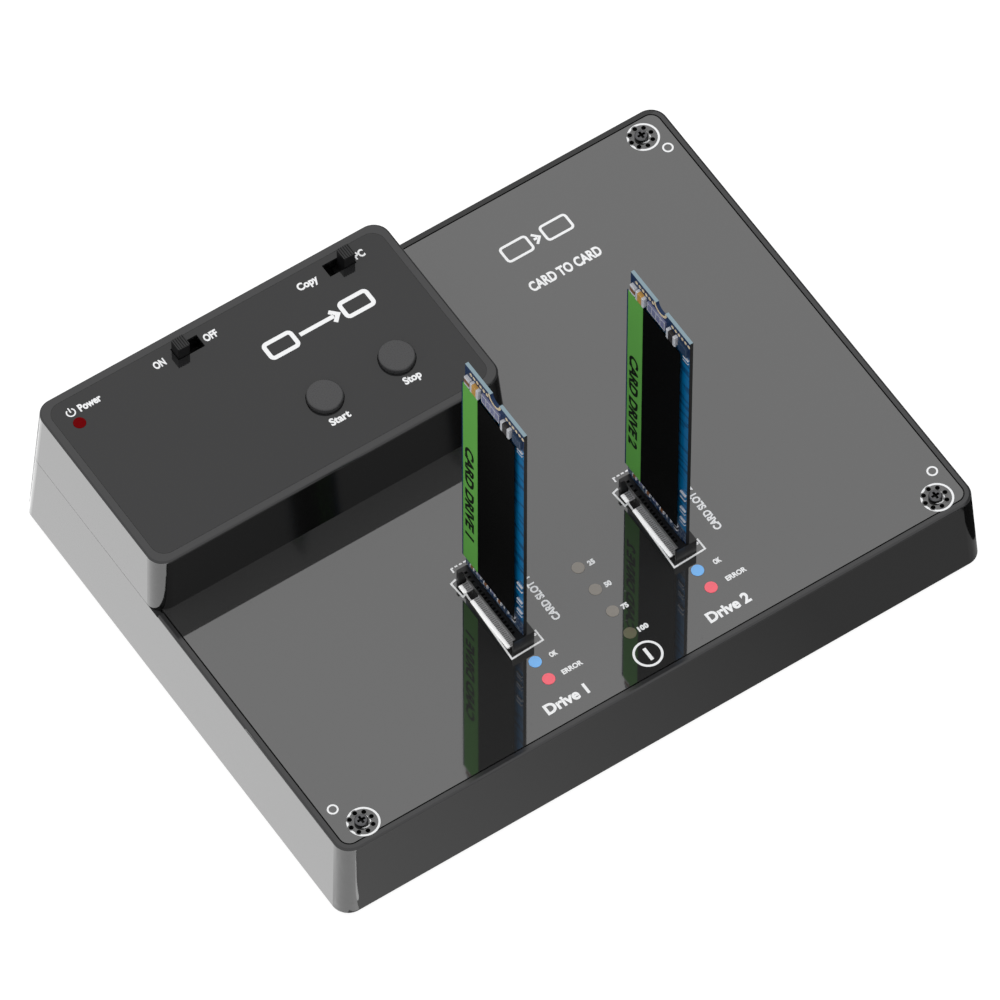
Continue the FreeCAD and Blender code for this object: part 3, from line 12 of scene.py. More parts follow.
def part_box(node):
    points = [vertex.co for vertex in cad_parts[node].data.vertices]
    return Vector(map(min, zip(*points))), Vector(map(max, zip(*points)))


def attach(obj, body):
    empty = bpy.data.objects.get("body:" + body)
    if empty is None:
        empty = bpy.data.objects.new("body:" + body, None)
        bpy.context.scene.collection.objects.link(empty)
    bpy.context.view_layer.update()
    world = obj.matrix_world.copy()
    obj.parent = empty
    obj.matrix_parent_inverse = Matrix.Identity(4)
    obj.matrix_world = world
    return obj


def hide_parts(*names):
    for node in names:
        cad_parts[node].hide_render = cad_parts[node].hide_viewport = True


bl_info = {
    "name": "Drive Duplicator Looks",
    "version": (1, 0, 0),
    "blender": (4, 5, 0),
    "location": "3D View > Sidebar > Duplicator",
    "description": "Finishes, print, card parts and stage of a two-bay drive duplicator",
    "category": "Object",
}

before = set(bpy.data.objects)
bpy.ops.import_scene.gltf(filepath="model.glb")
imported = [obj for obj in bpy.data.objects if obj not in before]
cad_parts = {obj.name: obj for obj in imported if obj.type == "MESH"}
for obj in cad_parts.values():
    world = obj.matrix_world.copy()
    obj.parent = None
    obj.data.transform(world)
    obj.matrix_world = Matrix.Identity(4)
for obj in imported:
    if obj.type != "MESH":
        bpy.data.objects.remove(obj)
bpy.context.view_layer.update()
MM = 0.001

# How far print and plating reach into what carries them.
SINK = 0.01 * MM
# How far down from its top a shell is painted lighter, as a highlight on its top band.
RIM_DEPTH = 0.6 * MM
# How far in from a card's sides its cut edge is coloured, with a painted highlight on the top edge and
# painted shade on the side edge.
CUT_EDGE = 0.06 * MM

BOARD_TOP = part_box("main_board")[1].z
FASCIA_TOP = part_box("control_fascia")[1].z
CARD_BOXES = {number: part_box(f"drive_{number}_board") for number in (1, 2)}
BAY_SHIFT = CARD_BOXES[2][0].x - CARD_BOXES[1][0].x


def srgb(red, green, blue):
    """A colour given as a screen shows it, 0 to 255, as the linear colour that a shader takes."""
    shares = np.array([red, green, blue]) / 255
    low = shares / 12.92
    high = ((shares + 0.055) / 1.055) ** 2.4
    return tuple(float(x) for x in np.where(shares <= 0.04045, low, high))


def length(name, description, millimetres):
    """A length property, given in millimetres."""
    return FloatProperty(name=name, description=description, default=millimetres * MM,
                         unit="LENGTH", precision=5)


def level(name, description, number, **limits):
    """A number property."""
    return FloatProperty(name=name, description=description, default=number, **limits)


def colour(name, description, red, green, blue):
    """A colour property, given as a screen shows it."""
    return FloatVectorProperty(name=name, description=description, default=srgb(red, green, blue),
                               subtype="COLOR", min=0, max=1)


# Sizes and colours that a user would change

class DuplicatorShellSettings(bpy.types.PropertyGroup):
    """Colours of the shell and its controls."""

    base: colour("Base", "Glossy plastic of the base", 12, 12, 12)
    housing: colour("Housing", "Glossy plastic of the control housing", 12, 12, 12)
    # Painted highlight: the rims' lighter colour stands in for the light that falls on the shell's top
    # faces.
    rim_highlight: colour("Rim", "Rims round the panels, apart from the one behind the board", 46, 46, 47)
    fascia: colour("Fascia", "Glossy panel in the control housing", 31, 31, 32)
    board: colour("Board", "Glossy main board", 42, 42, 42)
    board_ior: level("Board gloss", "Refraction of the board's lacquer", 2.1, min=1, max=3)
    button: colour("Button", "Caps of the push buttons", 63, 63, 64)
    knob: colour("Knob", "Knobs of the slide switches", 22, 22, 23)


class DuplicatorPrintSettings(bpy.types.PropertyGroup):
    """Sizes of the white print."""

    ink: colour("Ink", "White print", 250, 251, 252)
    thickness: length("Thickness", "How far the print stands out", 0.03)
    line: length("Line", "Width of a printed outline", 0.46)
    pad_radius: length("Pad radius", "Outer radius of the ring round a corner screw", 3.62)
    mark_radius: length("Mark radius", "Outer radius of the small ring beside a corner screw", 1.25)
    badge_radius: length("Badge radius", "Outer radius of the ringed number", 3.3)
    caption: length("Caption", "Height of the small captions' capitals", 1.2)
    slot: length("Slot caption", "Height of the capitals beside the sockets", 1.75)
    title: length("Title", "Height of the bay names' capitals", 2.6)
    subtitle: length("Subtitle", "Height of the capitals under the board's sign", 2.5)
    number: length("Number", "Height of the ringed number", 3.2)
    control: length("Control caption", "Height of the capitals beside the controls", 1.85)
    card: length("Card caption", "Height of the capitals on a card's label", 3.1)


class DuplicatorLampSettings(bpy.types.PropertyGroup):
    """Colours of the lamps."""

    power: colour("Power", "Power lamp", 108, 0, 4)
    progress: colour("Progress", "Progress lamps when they are off", 110, 101, 88)
    ready: colour("Ready", "Ready lamps", 84, 178, 255)
    error: colour("Error", "Error lamps", 252, 50, 82)


class DuplicatorCardSettings(bpy.types.PropertyGroup):
    """Colours of the two card drives."""

    lacquer: colour("Lacquer", "Blue lacquer of a card", 0, 112, 168)
    lacquer_deep: colour("Deep lacquer", "Blue lacquer over copper tracks", 0, 76, 122)
    lacquer_top: colour("Top lacquer", "Lacquer round the parts at a card's top", 24, 48, 84)
    # Painted highlight and painted shade: the cut edge is lighter on top and darker at the side, as
    # light falls on them.
    top_edge_highlight: colour("Top edge", "Cut top edge of a card", 138, 160, 170)
    side_edge_shade: colour("Side edge", "Cut side edge of a card", 10, 11, 12)
    foot_specks: colour("Foot specks", "Small parts on a card below its label", 104, 116, 128)
    plating: colour("Plating", "Dots and the ring at the notch", 226, 208, 172)
    label_band: colour("Label band", "Green band of a card's label", 102, 172, 80)
    label_field: colour("Label field", "Black part of a card's label", 4, 4, 4)
    band_share: level("Band share", "Green share of a label's width", 0.3, min=0, max=1)


class DuplicatorStageSettings(bpy.types.PropertyGroup):
    """Camera, light and floor."""

    lens: level("Lens", "Focal length on a 36 mm wide sensor", 500.68, unit="CAMERA")
    azimuth: level("Azimuth", "Turn of the camera round the object", math.radians(-33.6877),
                   subtype="ANGLE")
    elevation: level("Elevation", "Camera above the horizon", math.radians(56.9468), subtype="ANGLE")
    distance: length("Distance", "Camera to the point that it looks at", 2980.44)
    aim: FloatVectorProperty(name="Aim", description="Point in the middle of the picture",
                             default=(0.0024382, 0.0046761, 0.0046120), subtype="TRANSLATION",
                             precision=6)
    sky: level("Sky", "Level of the light from all round", 0.95)
    sky_mirrored: level("Mirrored sky", "Level of the sky in a reflection", 0.85)
    key: level("Key", "Radiance of the large soft panel", 0.27)
    strip: level("Strip", "Radiance of the low strip on the left", 1.65)
    floor: colour("Floor", "Pale floor", 150, 150, 150)
    floor_glow: level("Floor glow", "Level of the floor where it is seen", 0.86)


class DuplicatorSettings(bpy.types.PropertyGroup):
    """Everything that a user would change."""

    shell: PointerProperty(type=DuplicatorShellSettings)
    print: PointerProperty(type=DuplicatorPrintSettings)
    lamps: PointerProperty(type=DuplicatorLampSettings)
    cards: PointerProperty(type=DuplicatorCardSettings)
    stage: PointerProperty(type=DuplicatorStageSettings)


# Materials

class Value:
    """A socket in a finish. Arithmetic on it adds Math nodes."""

    def __init__(self, finish, socket):
        self.finish = finish
        self.socket = socket

    def math(self, operation, first, second):
        return self.finish.add("ShaderNodeMath", {"operation": operation}, {0: first, 1: second})

    def __add__(self, other):
        return self.math("ADD", self, other)

    def __sub__(self, other):
        return self.math("SUBTRACT", self, other)

    def __rsub__(self, other):
        return self.math("SUBTRACT", other, self)

    def __mul__(self, other):
        return self.math("MULTIPLY", self, other)

    def __gt__(self, other):
        return self.math("GREATER_THAN", self, other)

    def __lt__(self, other):
        return self.math("LESS_THAN", self, other)

    __radd__ = __add__
    __rmul__ = __mul__


class Finish:
    """A material, built up node by node round one Principled shader."""

    def __init__(self, name, colour, roughness, metallic=0.0, ior=1.5):
        self.material = bpy.data.materials.new(name)
        self.material.use_nodes = True
        self.tree = self.material.node_tree
        self.shader = self.tree.nodes["Principled BSDF"]
        self.colour = tuple(colour)
        self.feed("Base Color", self.colour)
        self.feed("Roughness", roughness)
        self.feed("Metallic", metallic)
        self.feed("IOR", ior)

    def add(self, kind, settings, inputs, output=0):
        """Adds a node: first its settings, then the values or links of its sockets."""
        node = self.tree.nodes.new(kind)
        for name, setting in settings.items():
            setattr(node, name, setting)
        for key, given in inputs.items():
            self.join(given, node.inputs[key])
        return Value(self, node.outputs[output])

    def join(self, given, socket):
        """Links a value to a socket, or sets a number, a vector or an opaque colour on it."""
        if isinstance(given, Value):
            self.tree.links.new(given.socket, socket)
        elif socket.type == "RGBA":
            socket.default_value = (*given, 1.0)
        else:
            socket.default_value = given

    def feed(self, name, given):
        """Sets or links one socket of the shader."""
        self.join(given, self.shader.inputs[name])

    def place(self):
        """The place of a point of the surface, in metres."""
        return self.add("ShaderNodeTexCoord", {}, {}, "Object")

    def axis(self, name):
        """One coordinate of the place of a point."""
        return self.add("ShaderNodeSeparateXYZ", {}, {0: self.place()}, name)

    def noise(self, size, stretch=(1, 1, 1), detail=2.0):
        """Soft noise with patches of about one size, in metres, which may be longer along an axis."""
        frequency = tuple(1 / each for each in stretch)
        scaled = self.add("ShaderNodeVectorMath", {"operation": "MULTIPLY"},
                          {0: self.place(), 1: frequency})
        return self.add("ShaderNodeTexNoise", {"noise_dimensions": "3D"},
                        {"Vector": scaled, "Scale": 1 / size, "Detail": detail})

    def mix(self, share, first, second):
        """A colour between two, by a share."""
        return self.add("ShaderNodeMix", {"data_type": "RGBA"},
                        {0: share, 6: first, 7: second}, 2)

    def tone(self, share, change):
        """The finish's own colour, from darker to lighter by a change as the share goes 0 to 1."""
        dark = [part * (1 - change) for part in self.colour]
        light = [min(1, part * (1 + change)) for part in self.colour]
        return self.mix(share, dark, light)

    def relief(self, height, depth):
        """Bumps of a depth in metres, from a height between 0 and 1."""
        bump = self.add("ShaderNodeBump", {}, {"Height": height, "Distance": depth, "Strength": 1.0})
        self.feed("Normal", bump)

    def dress(self, *nodes):
        """Puts the finish on CAD nodes."""
        for name in nodes:
            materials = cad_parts[name].data.materials
            materials.clear()
            materials.append(self.material)


def satin_plastic(name, colour, roughness=0.42, grain=0.25 * MM, depth=0.006 * MM):
    """Moulded plastic with a fine spark-eroded grain and a faint cloudiness."""
    finish = Finish(name, colour, roughness)
    cloud = finish.noise(18 * MM)
    speck = finish.noise(grain, detail=3.0)
    finish.feed("Base Color", finish.tone(cloud, 0.05))
    finish.feed("Roughness", roughness - 0.05 + 0.1 * speck)
    if depth:
        finish.relief(speck, depth)
    return finish


def polished_plastic(name, colour, rim_highlight, panel, behind, roughness=0.1, ior=1.55):
    """Moulded plastic from a polished mould: smooth, with faint clouds and a few fine specks, and
    painted lighter as a highlight on its top band round a panel, where behind the panel only if that is
    asked for."""
    finish = Finish(name, colour, roughness, ior=ior)
    cloud = finish.noise(22 * MM)
    specks = finish.noise(0.7 * MM, detail=4.0) > 0.7
    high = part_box(panel)[1]
    # Painted highlight: the top band of the shell gets the lighter colour.
    rim_highlight_mask = finish.axis("Z") > high.z - RIM_DEPTH
    if not behind:
        rim_highlight_mask = rim_highlight_mask * (finish.axis("Y") < high.y)
    finish.feed("Base Color", finish.mix(rim_highlight_mask, finish.tone(cloud, 0.06), rim_highlight))
    finish.feed("Roughness", roughness * 0.8 + roughness * 0.4 * cloud + 0.12 * specks)
    return finish


def gloss_lacquer(name, colour, roughness, ior):
    """Smooth lacquer with a very slight haze that comes and goes, and a few specks of dust."""
    finish = Finish(name, colour, roughness, ior=ior)
    haze = finish.noise(30 * MM)
    dust = finish.noise(0.9 * MM, detail=5.0) > 0.72
    finish.feed("Base Color", finish.tone(haze, 0.05))
    finish.feed("Roughness", roughness * 0.7 + roughness * 0.6 * haze + 0.2 * dust)
    return finish


def plated_metal(name, colour, roughness=0.28, grain=0.2 * MM):
    """Plated metal with drawing lines along X."""
    finish = Finish(name, colour, roughness, metallic=1.0)
    lines = finish.noise(grain, stretch=(12, 1, 1))
    finish.feed("Base Color", finish.tone(lines, 0.12))
    finish.feed("Roughness", roughness - 0.08 + 0.16 * lines)
    return finish


def soft_rubber(name, colour, roughness):
    """Matt rubber with fine pores."""
    finish = Finish(name, colour, roughness)
    pores = finish.noise(0.5 * MM, detail=4.0)
    finish.feed("Base Color", finish.tone(pores, 0.15))
    finish.relief(pores, 0.03 * MM)
    return finish


def printed_ink(name, colour):
    """Screen-printed ink, a little uneven."""
    finish = Finish(name, colour, 0.6, ior=1.3)
    blotch = finish.noise(0.6 * MM)
    finish.feed("Base Color", finish.tone(blotch, 0.03))
    finish.feed("Roughness", 0.5 + 0.1 * blotch)
    return finish


def lamp_resin(name, colour, roughness=0.05, ior=1.5):
    """Tinted resin, a little cloudy inside."""
    finish = Finish(name, colour, roughness, ior=ior)
    cloud = finish.noise(0.9 * MM)
    finish.feed("Base Color", finish.tone(cloud, 0.05))
    return finish


def card_lacquer(cards, label_foot, label_top):
    """A card's lacquer: blue with darker tracks, speckled below the label, deeper above it, and with a
    pale cut edge at its top, a painted highlight, and a dark one at its side, painted shade."""
    finish = Finish("card_lacquer", cards.lacquer, 0.35, ior=1.3)
    low, high = CARD_BOXES[1]
    height = finish.axis("Z")
    tracks = finish.noise(1.6 * MM, stretch=(1, 6, 1), detail=3.0) > 0.54
    specks = finish.noise(0.55 * MM, detail=3.0) > 0.53
    foot = finish.mix(specks, cards.lacquer_top, cards.foot_specks)
    face = finish.mix(tracks, cards.lacquer, cards.lacquer_deep)
    face = finish.mix(height < label_foot, face, foot)
    face = finish.mix(height > label_top, face, cards.lacquer_top)
    # Painted highlight on the top cut edge, painted shade on the side cut edge.
    face = finish.mix(height > high.z - CUT_EDGE, face, cards.top_edge_highlight)
    face = finish.mix(finish.axis("Y") < low.y + CUT_EDGE, face, cards.side_edge_shade)
    finish.feed("Base Color", face)
    return finish


def dress_plain(rows):
    """Makes the finishes of a list and puts them on their CAD nodes. Each row holds the function
    that makes the finish, its name, colour and roughness, and the nodes."""
    for make, name, tone, roughness, nodes in rows:
        make(name, srgb(*tone), roughness).dress(*nodes)


# Shapes

def grid_faces(rows, columns, closed_rows, closed_columns):
    """Four-sided faces of a grid of points, row by row, joined round where it closes."""
    i = np.arange(rows if closed_rows else rows - 1)
    j = np.arange(columns if closed_columns else columns - 1)
    i, j = np.meshgrid(i, j, indexing="ij")
    after_i = (i + 1) % rows
    after_j = (j + 1) % columns
    faces = np.stack([i * columns + j, after_i * columns + j,
                      after_i * columns + after_j, i * columns + after_j], axis=-1)
    return faces.reshape(-1, 4).tolist()


def rounded_outline(across, along, corner, steps=5):
    """A rectangle with round corners: four quarter circles, each about its corner's centre."""
    corner = min(corner, across / 2, along / 2)
    turn = np.linspace(0, np.pi / 2, steps)
    points = []
    for quarter, (side_x, side_y) in enumerate(((1, 1), (-1, 1), (-1, -1), (1, -1))):
        angle = turn + quarter * np.pi / 2
        x = side_x * (across / 2 - corner) + corner * np.cos(angle)
        y = side_y * (along / 2 - corner) + corner * np.sin(angle)
        points.append(np.stack([x, y], axis=-1))
    return np.concatenate(points)


def slab(across, along, corner, levels):
    """A closed block: a round-cornered outline at each level, moved in by that level's inset.
    levels are (inset, height) from the bottom up."""
    rings = []
    for inset, height in levels:
        outline = rounded_outline(across - 2 * inset, along - 2 * inset, max(corner - inset, 1e-6))
        rings.append(np.column_stack([outline, np.full(len(outline), height)]))
    count = len(rings[0])
    faces = grid_faces(len(rings), count, False, True)
    faces.append(list(range(count))[::-1])
    faces.append(list(range((len(rings) - 1) * count, len(rings) * count)))
    return np.concatenate(rings), faces


def turned(profile, steps=48):
    """A closed surface of revolution about Z: each (radius, height) of the profile turned round."""
    profile = np.array(profile, float)
    angle = np.linspace(0, 2 * np.pi, steps, endpoint=False)
    x = profile[:, 0, None] * np.cos(angle)
    y = profile[:, 0, None] * np.sin(angle)
    z = np.repeat(profile[:, 1, None], steps, axis=1)
    points = np.stack([x, y, z], axis=-1).reshape(-1, 3)
    return points, grid_faces(len(profile), steps, False, True)


def line_band(path, width, low, high, closed=False):
    """A flat line along a path in the plane: a rectangle carried along it, mitred at its corners.
    At each point the side offset is the mean of the two edge normals over 1 + their dot product."""
    path = np.array(path, float)
    ahead = np.roll(path, -1, axis=0) - path
    ahead /= np.linalg.norm(ahead, axis=1)[:, None]
    normal = np.stack([-ahead[:, 1], ahead[:, 0]], axis=-1)
    before = np.roll(normal, 1, axis=0)
    if not closed:
        before[0] = normal[0]
        normal[-1] = before[-1]
    mitre = (before + normal) / (1 + np.sum(before * normal, axis=1))[:, None]
    left = path + mitre * width / 2
    right = path - mitre * width / 2
    count = len(path)
    corners = [np.column_stack([side, np.full(count, level)])
               for side, level in ((left, low), (left, high), (right, high), (right, low))]
    points = np.stack(corners, axis=1).reshape(-1, 3)
    faces = grid_faces(count, 4, closed, True)
    if not closed:
        faces += [[3, 2, 1, 0], [4 * count - 4, 4 * count - 3, 4 * count - 2, 4 * count - 1]]
    return points, faces


def arc(x, y, radius, start, end, steps=24):
    """Points of an arc about (x, y), from one angle in degrees to another."""
    angle = np.radians(np.linspace(start, end, steps))
    return np.stack([x + radius * np.cos(angle), y + radius * np.sin(angle)], axis=-1)


def ring(x, y, radius, width, low, high, steps=64):
    """A flat closed ring about (x, y), with its outer edge at a radius."""
    circle = arc(x, y, radius - width / 2, 0, 360, steps + 1)[:-1]
    return line_band(circle, width, low, high, closed=True)


def disc(x, y, radius, low, high, steps):
    """A flat closed disc about (x, y)."""
    return moved(turned([(0, low), (radius, low), (radius, high), (0, high)], steps), x, y)


def moved(shape, x, y):
    """A shape moved to a place in the plane."""
    points, faces = shape
    return points + np.array([x, y, 0]), faces


def on_card(shape, number, across, along):
    """A shape that lies in the plane, stood up on a card's front face: its X becomes Y, its Y
    becomes Z and its Z points towards -X, about a point given from the card's middle and foot."""
    points, faces = shape
    low, high = CARD_BOXES[number]
    x = low.x - points[:, 2]
    y = (low.y + high.y) / 2 + across + points[:, 0]
    z = low.z + along + points[:, 1]
    return np.stack([x, y, z], axis=-1), faces


def turn_over(shape, number):
    """A shape on a card's front face, mirrored through the card's middle plane to its back face."""
    points, faces = shape
    low, high = CARD_BOXES[number]
    mirrored = points.copy()
    mirrored[:, 0] = low.x + high.x - points[:, 0]
    return mirrored, faces


def part_ends(number, across, along, width, length, height, ends):
    """Two metal caps over the ends of a small part: slabs a little larger than its body. Each is a
    share of the body's size from end to end."""
    cap = 0.26
    over = 0.03
    bevel = 0.08
    if ends == "sides":
        size = (width * cap, length + 2 * over)
        reach = width * (0.5 - cap / 2) + over
        places = [(across - reach, along), (across + reach, along)]
    else:
        size = (width + 2 * over, length * cap)
        reach = length * (0.5 - cap / 2) + over
        places = [(across, along - reach), (across, along + reach)]
    block = slab(size[0] * MM, size[1] * MM, 0.1 * MM,
                 [(0, 0), (0, height * 0.9 * MM), (bevel * MM, (height + over) * MM)])
    return [on_card(block, number, x * MM, y * MM) for x, y in places]


def array_lines(number, across, along, width, length, height, count=5):
    """The lines on a row of resistors in one case: thin bars at even steps, and two along its sides."""
    line, margin, side = 0.16, 0.3, 0.42
    levels = [(0, height * 0.5 * MM), (0, (height + 0.03) * MM)]
    steps = across + (np.arange(count) / (count - 1) - 0.5) * (width - margin)
    bar = slab(line * MM, length * MM, 0.05 * MM, levels)
    sill = slab(width * MM, line * MM, 0.05 * MM, levels)
    shapes = [on_card(bar, number, x * MM, along * MM) for x in steps]
    return shapes + [on_card(sill, number, across * MM, (along + up * length) * MM)
                     for up in (-side, side)]


def solder_row(outer, first, count, pitch, width, height=0.34 * MM, across_steps=9, along_steps=6):
    """A row of solder fillets over the feet of the contacts: across, a cosine against a sine to the
    power 0.25, so flat on top; its width swells at each foot with the square of a cosine."""
    length = (count - 1) * pitch + 0.4 * MM
    along = np.linspace(-length / 2, length / 2, count * along_steps)
    middle = first - (count - 1) * pitch / 2
    wave = np.cos(np.pi * (along + (count - 1) * pitch / 2) / pitch) ** 2
    swell = 0.8 + 0.2 * wave
    taper = np.sqrt(np.clip((length / 2 - np.abs(along)) / (0.2 * MM), 0.02, 1))
    angle = np.linspace(0, np.pi, across_steps)
    x = outer + np.cos(angle)[None, :] * (width / 2 * swell * taper)[:, None]
    z = BOARD_TOP + np.sin(angle)[None, :] ** 0.25 * (height * (0.98 + 0.02 * wave) * taper)[:, None]
    y = np.repeat((middle + along)[:, None], across_steps, axis=1)
    points = np.stack([x, y, z], axis=-1).reshape(-1, 3)
    faces = grid_faces(len(along), across_steps, False, True)
    faces.append(list(range(across_steps))[::-1])
    faces.append(list(range(len(points) - across_steps, len(points))))
    return points, faces


def together(shapes):
    """Several shapes as one."""
    points = []
    faces = []
    start = 0
    for shape_points, shape_faces in shapes:
        points.append(shape_points)
        faces += [[start + corner for corner in face] for face in shape_faces]
        start += len(shape_points)
    return np.concatenate(points), faces


def make_piece(name, shapes, finish, body, smooth=False):
    """A piece from closed shapes, with its faces turned outwards, that rides on a body."""
    points, faces = together(shapes)
    mesh = bpy.data.meshes.new(name)
    mesh.from_pydata(points, [], faces)
    tidy = bmesh.new()
    tidy.from_mesh(mesh)
    bmesh.ops.remove_doubles(tidy, verts=tidy.verts, dist=1e-7)
    bmesh.ops.recalc_face_normals(tidy, faces=tidy.faces)
    tidy.to_mesh(mesh)
    tidy.free()
    if smooth:
        mesh.shade_smooth()
    mesh.materials.append(finish.material)
    piece = bpy.data.objects.new(name, mesh)
    bpy.context.scene.collection.objects.link(piece)
    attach(piece, body)
    return piece


# Lettering

# Height of the built-in font's capitals at size one.
CAPITAL = 0.729


def word_mesh(text, height, thickness, width, boldness):
    """A word as a mesh, its capitals of a height and centred, its lower face at zero.
    Across, it is scaled to a width, or as its height is where none is given."""
    curve = bpy.data.curves.new(text, "FONT")
    curve.body = text
    curve.align_x = "CENTER"
    curve.align_y = "TOP_BASELINE"
    curve.offset = boldness
    curve.extrude = 0.5
    curve.resolution_u = 4
    holder = bpy.data.objects.new(text, curve)
    bpy.context.scene.collection.objects.link(holder)
    bpy.context.view_layer.update()
    mesh = bpy.data.meshes.new_from_object(holder.evaluated_get(bpy.context.evaluated_depsgraph_get()))
    bpy.data.objects.remove(holder)
    bpy.data.curves.remove(curve)
    points = np.zeros(len(mesh.vertices) * 3)
    mesh.vertices.foreach_get("co", points)
    points = points.reshape(-1, 3)
    low, high = points[:, 0].min(), points[:, 0].max()
    along = height / CAPITAL
    across = width / (high - low) if width else along
    points[:, 0] = (points[:, 0] - (low + high) / 2) * across
    points[:, 1] = (points[:, 1] - CAPITAL / 2) * along
    points[:, 2] = (points[:, 2] + 0.5) * thickness
    faces = [list(polygon.vertices) for polygon in mesh.polygons]
    bpy.data.meshes.remove(mesh)
    return points, faces


def word(text, x, y, height, low, thickness, width, turn, boldness):
    """A word about (x, y), turned by an angle in degrees."""
    points, faces = word_mesh(text, height, thickness, width, boldness)
    cosine, sine = math.cos(math.radians(turn)), math.sin(math.radians(turn))
    spin = np.array([[cosine, sine, 0], [-sine, cosine, 0], [0, 0, 1]])
    return points @ spin + [x, y, low], faces


def printed_words(rows, sizes, low):
    """The words of a list. Each row holds the name of their height among the sizes, their turn and
    boldness, and then each word with its place and its width, or zero for none."""
    return [word(text, x * MM, y * MM, getattr(sizes, height), low, sizes.thickness + SINK,
                 width * MM, turn, boldness)
            for height, turn, boldness, words in rows for text, x, y, width in words]


def copy_sign(x, y, span, tall, line, low, high):
    """A plain sign about (x, y): two card outlines with an arrow from the one to the other. A card's
    length and corners, and the arrow's gap and head, are shares of the sign's height."""
    card, corner, gap, head = 1.55 * tall, 0.16 * tall, 0.18 * tall, 0.3 * tall
    reach = span / 2 - card - gap
    outline = line_band(rounded_outline(card - line, tall - line, corner), line, low, high, closed=True)
    shapes = [moved(outline, x + side * (span - card) / 2, y) for side in (-1, 1)]
    shapes.append(line_band([(x - reach, y), (x + reach - line, y)], line, low, high))
    point = [(x + reach - head, y + head), (x + reach, y), (x + reach - head, y - head)]
    shapes.append(line_band(point, line, low, high))
    return shapes


# The object's pieces

SHELL_PARTS = [(satin_plastic, "control_board_lacquer", (12, 60, 36), 0.35, ["control_board"]),
               (soft_rubber, "foot_rubber", (28, 28, 28), 0.8, ["rubber_feet"])]


class DUPLICATOR_OT_shell(bpy.types.Operator):
    """Finish the base, the control housing, the fascia, the boards and the feet"""

    bl_idname = "duplicator.shell"
    bl_label = "Shell"

    def execute(self, context):
        shell = context.scene.duplicator.shell
        polished_plastic("base_plastic", shell.base, shell.rim_highlight, "main_board", False).dress("base_tray")
        polished_plastic("housing_plastic", shell.housing, shell.rim_highlight, "control_fascia", True).dress(
            "control_housing")
        gloss_lacquer("fascia_gloss", shell.fascia, 0.04, 1.5).dress("control_fascia")
        gloss_lacquer("board_gloss", shell.board, 0.03, shell.board_ior).dress("main_board")
        dress_plain(SHELL_PARTS)
        return {"FINISHED"}


OXIDE = (98, 98, 100)
# What lies deeper than this below the screws' top is painted dark, as shade in their recesses.
RECESS_DEPTH = 0.2 * MM
RECESS_SHADE = (8, 8, 8)
HIDDEN_SCREWS = [(plated_metal, "zinc_steel", (170, 172, 176), 0.3,
                  ["control_board_screws", "housing_screws"])]


class DUPLICATOR_OT_fasteners(bpy.types.Operator):
    """Finish the screws"""

    bl_idname = "duplicator.fasteners"
    bl_label = "Screws"

    def execute(self, context):
        black = Finish("black_oxide", srgb(*OXIDE), 0.3, metallic=0.85)
        wear = black.noise(0.5 * MM, detail=4.0)
        # Painted shade: the screws' recesses are coloured near black.
        recess_shade_mask = black.axis("Z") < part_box("board_screws")[1].z - RECESS_DEPTH
        black.feed("Base Color", black.mix(recess_shade_mask, black.tone(wear, 0.3), srgb(*RECESS_SHADE)))
        black.feed("Roughness", 0.22 + 0.2 * wear)
        black.dress("board_screws")
        dress_plain(HIDDEN_SCREWS)
        return {"FINISHED"}


SWITCH_PARTS = [
    (satin_plastic, "plunger_plastic", (20, 20, 20), 0.42,
     ["start_button_plunger", "stop_button_plunger"]),
    (satin_plastic, "switch_case", (16, 16, 17), 0.5,
     ["power_switch_body", "mode_switch_body", "start_switch_body", "stop_switch_body"]),
]


class DUPLICATOR_OT_controls(bpy.types.Operator):
    """Finish the knobs, the buttons and their switches"""

    bl_idname = "duplicator.controls"
    bl_label = "Switches and buttons"

    def execute(self, context):
        shell = context.scene.duplicator.shell
        satin_plastic("knob_plastic", shell.knob, 0.3).dress("power_switch_knob", "mode_switch_knob")
        satin_plastic("button_plastic", shell.button, 0.28, depth=0.002 * MM).dress(
            "start_button_cap", "stop_button_cap")
        dress_plain(SWITCH_PARTS)
        return {"FINISHED"}


class DUPLICATOR_OT_lamps(bpy.types.Operator):
    """Finish the lamps"""

    bl_idname = "duplicator.lamps"
    bl_label = "Lamps"

    def execute(self, context):
        lamps = context.scene.duplicator.lamps
        under_lacquer = context.scene.duplicator.shell.board_ior
        lamp_resin("lamp_red", lamps.power, 0.2, 1.1).dress("power_lens")
        lamp_resin("lamp_source", srgb(230, 220, 190)).dress("power_led")
        lamp_resin("lamp_pale", lamps.progress, ior=under_lacquer).dress("progress_leds")
        lamp_resin("lamp_blue", lamps.ready, ior=under_lacquer).dress("ready_leds")
        lamp_resin("lamp_pink", lamps.error, ior=under_lacquer).dress("error_leds")
        return {"FINISHED"}


# Rows of soldered contacts: distance of the row from the socket's middle, its first contact along Y,
# and its count of contacts, in millimetres.
SOLDER_ROWS = [(-2.68, -18.89, 5), (-2.68, -23.39, 29), (3.28, -18.89, 5), (3.28, -23.39, 29)]
SOLDER_WIDTH = 1.0 * MM
CONTACT_PITCH = 0.5 * MM
# The socket's middle lies this far to the left of its card's.
SOCKET_SHIFT = 0.3 * MM
# Height over which a contact's bent tail goes from bright to dark, a painted shade that deepens towards
# the socket's housing.
TAIL_RISE = 1.8 * MM
TAIL_SHADE = (30, 30, 32)


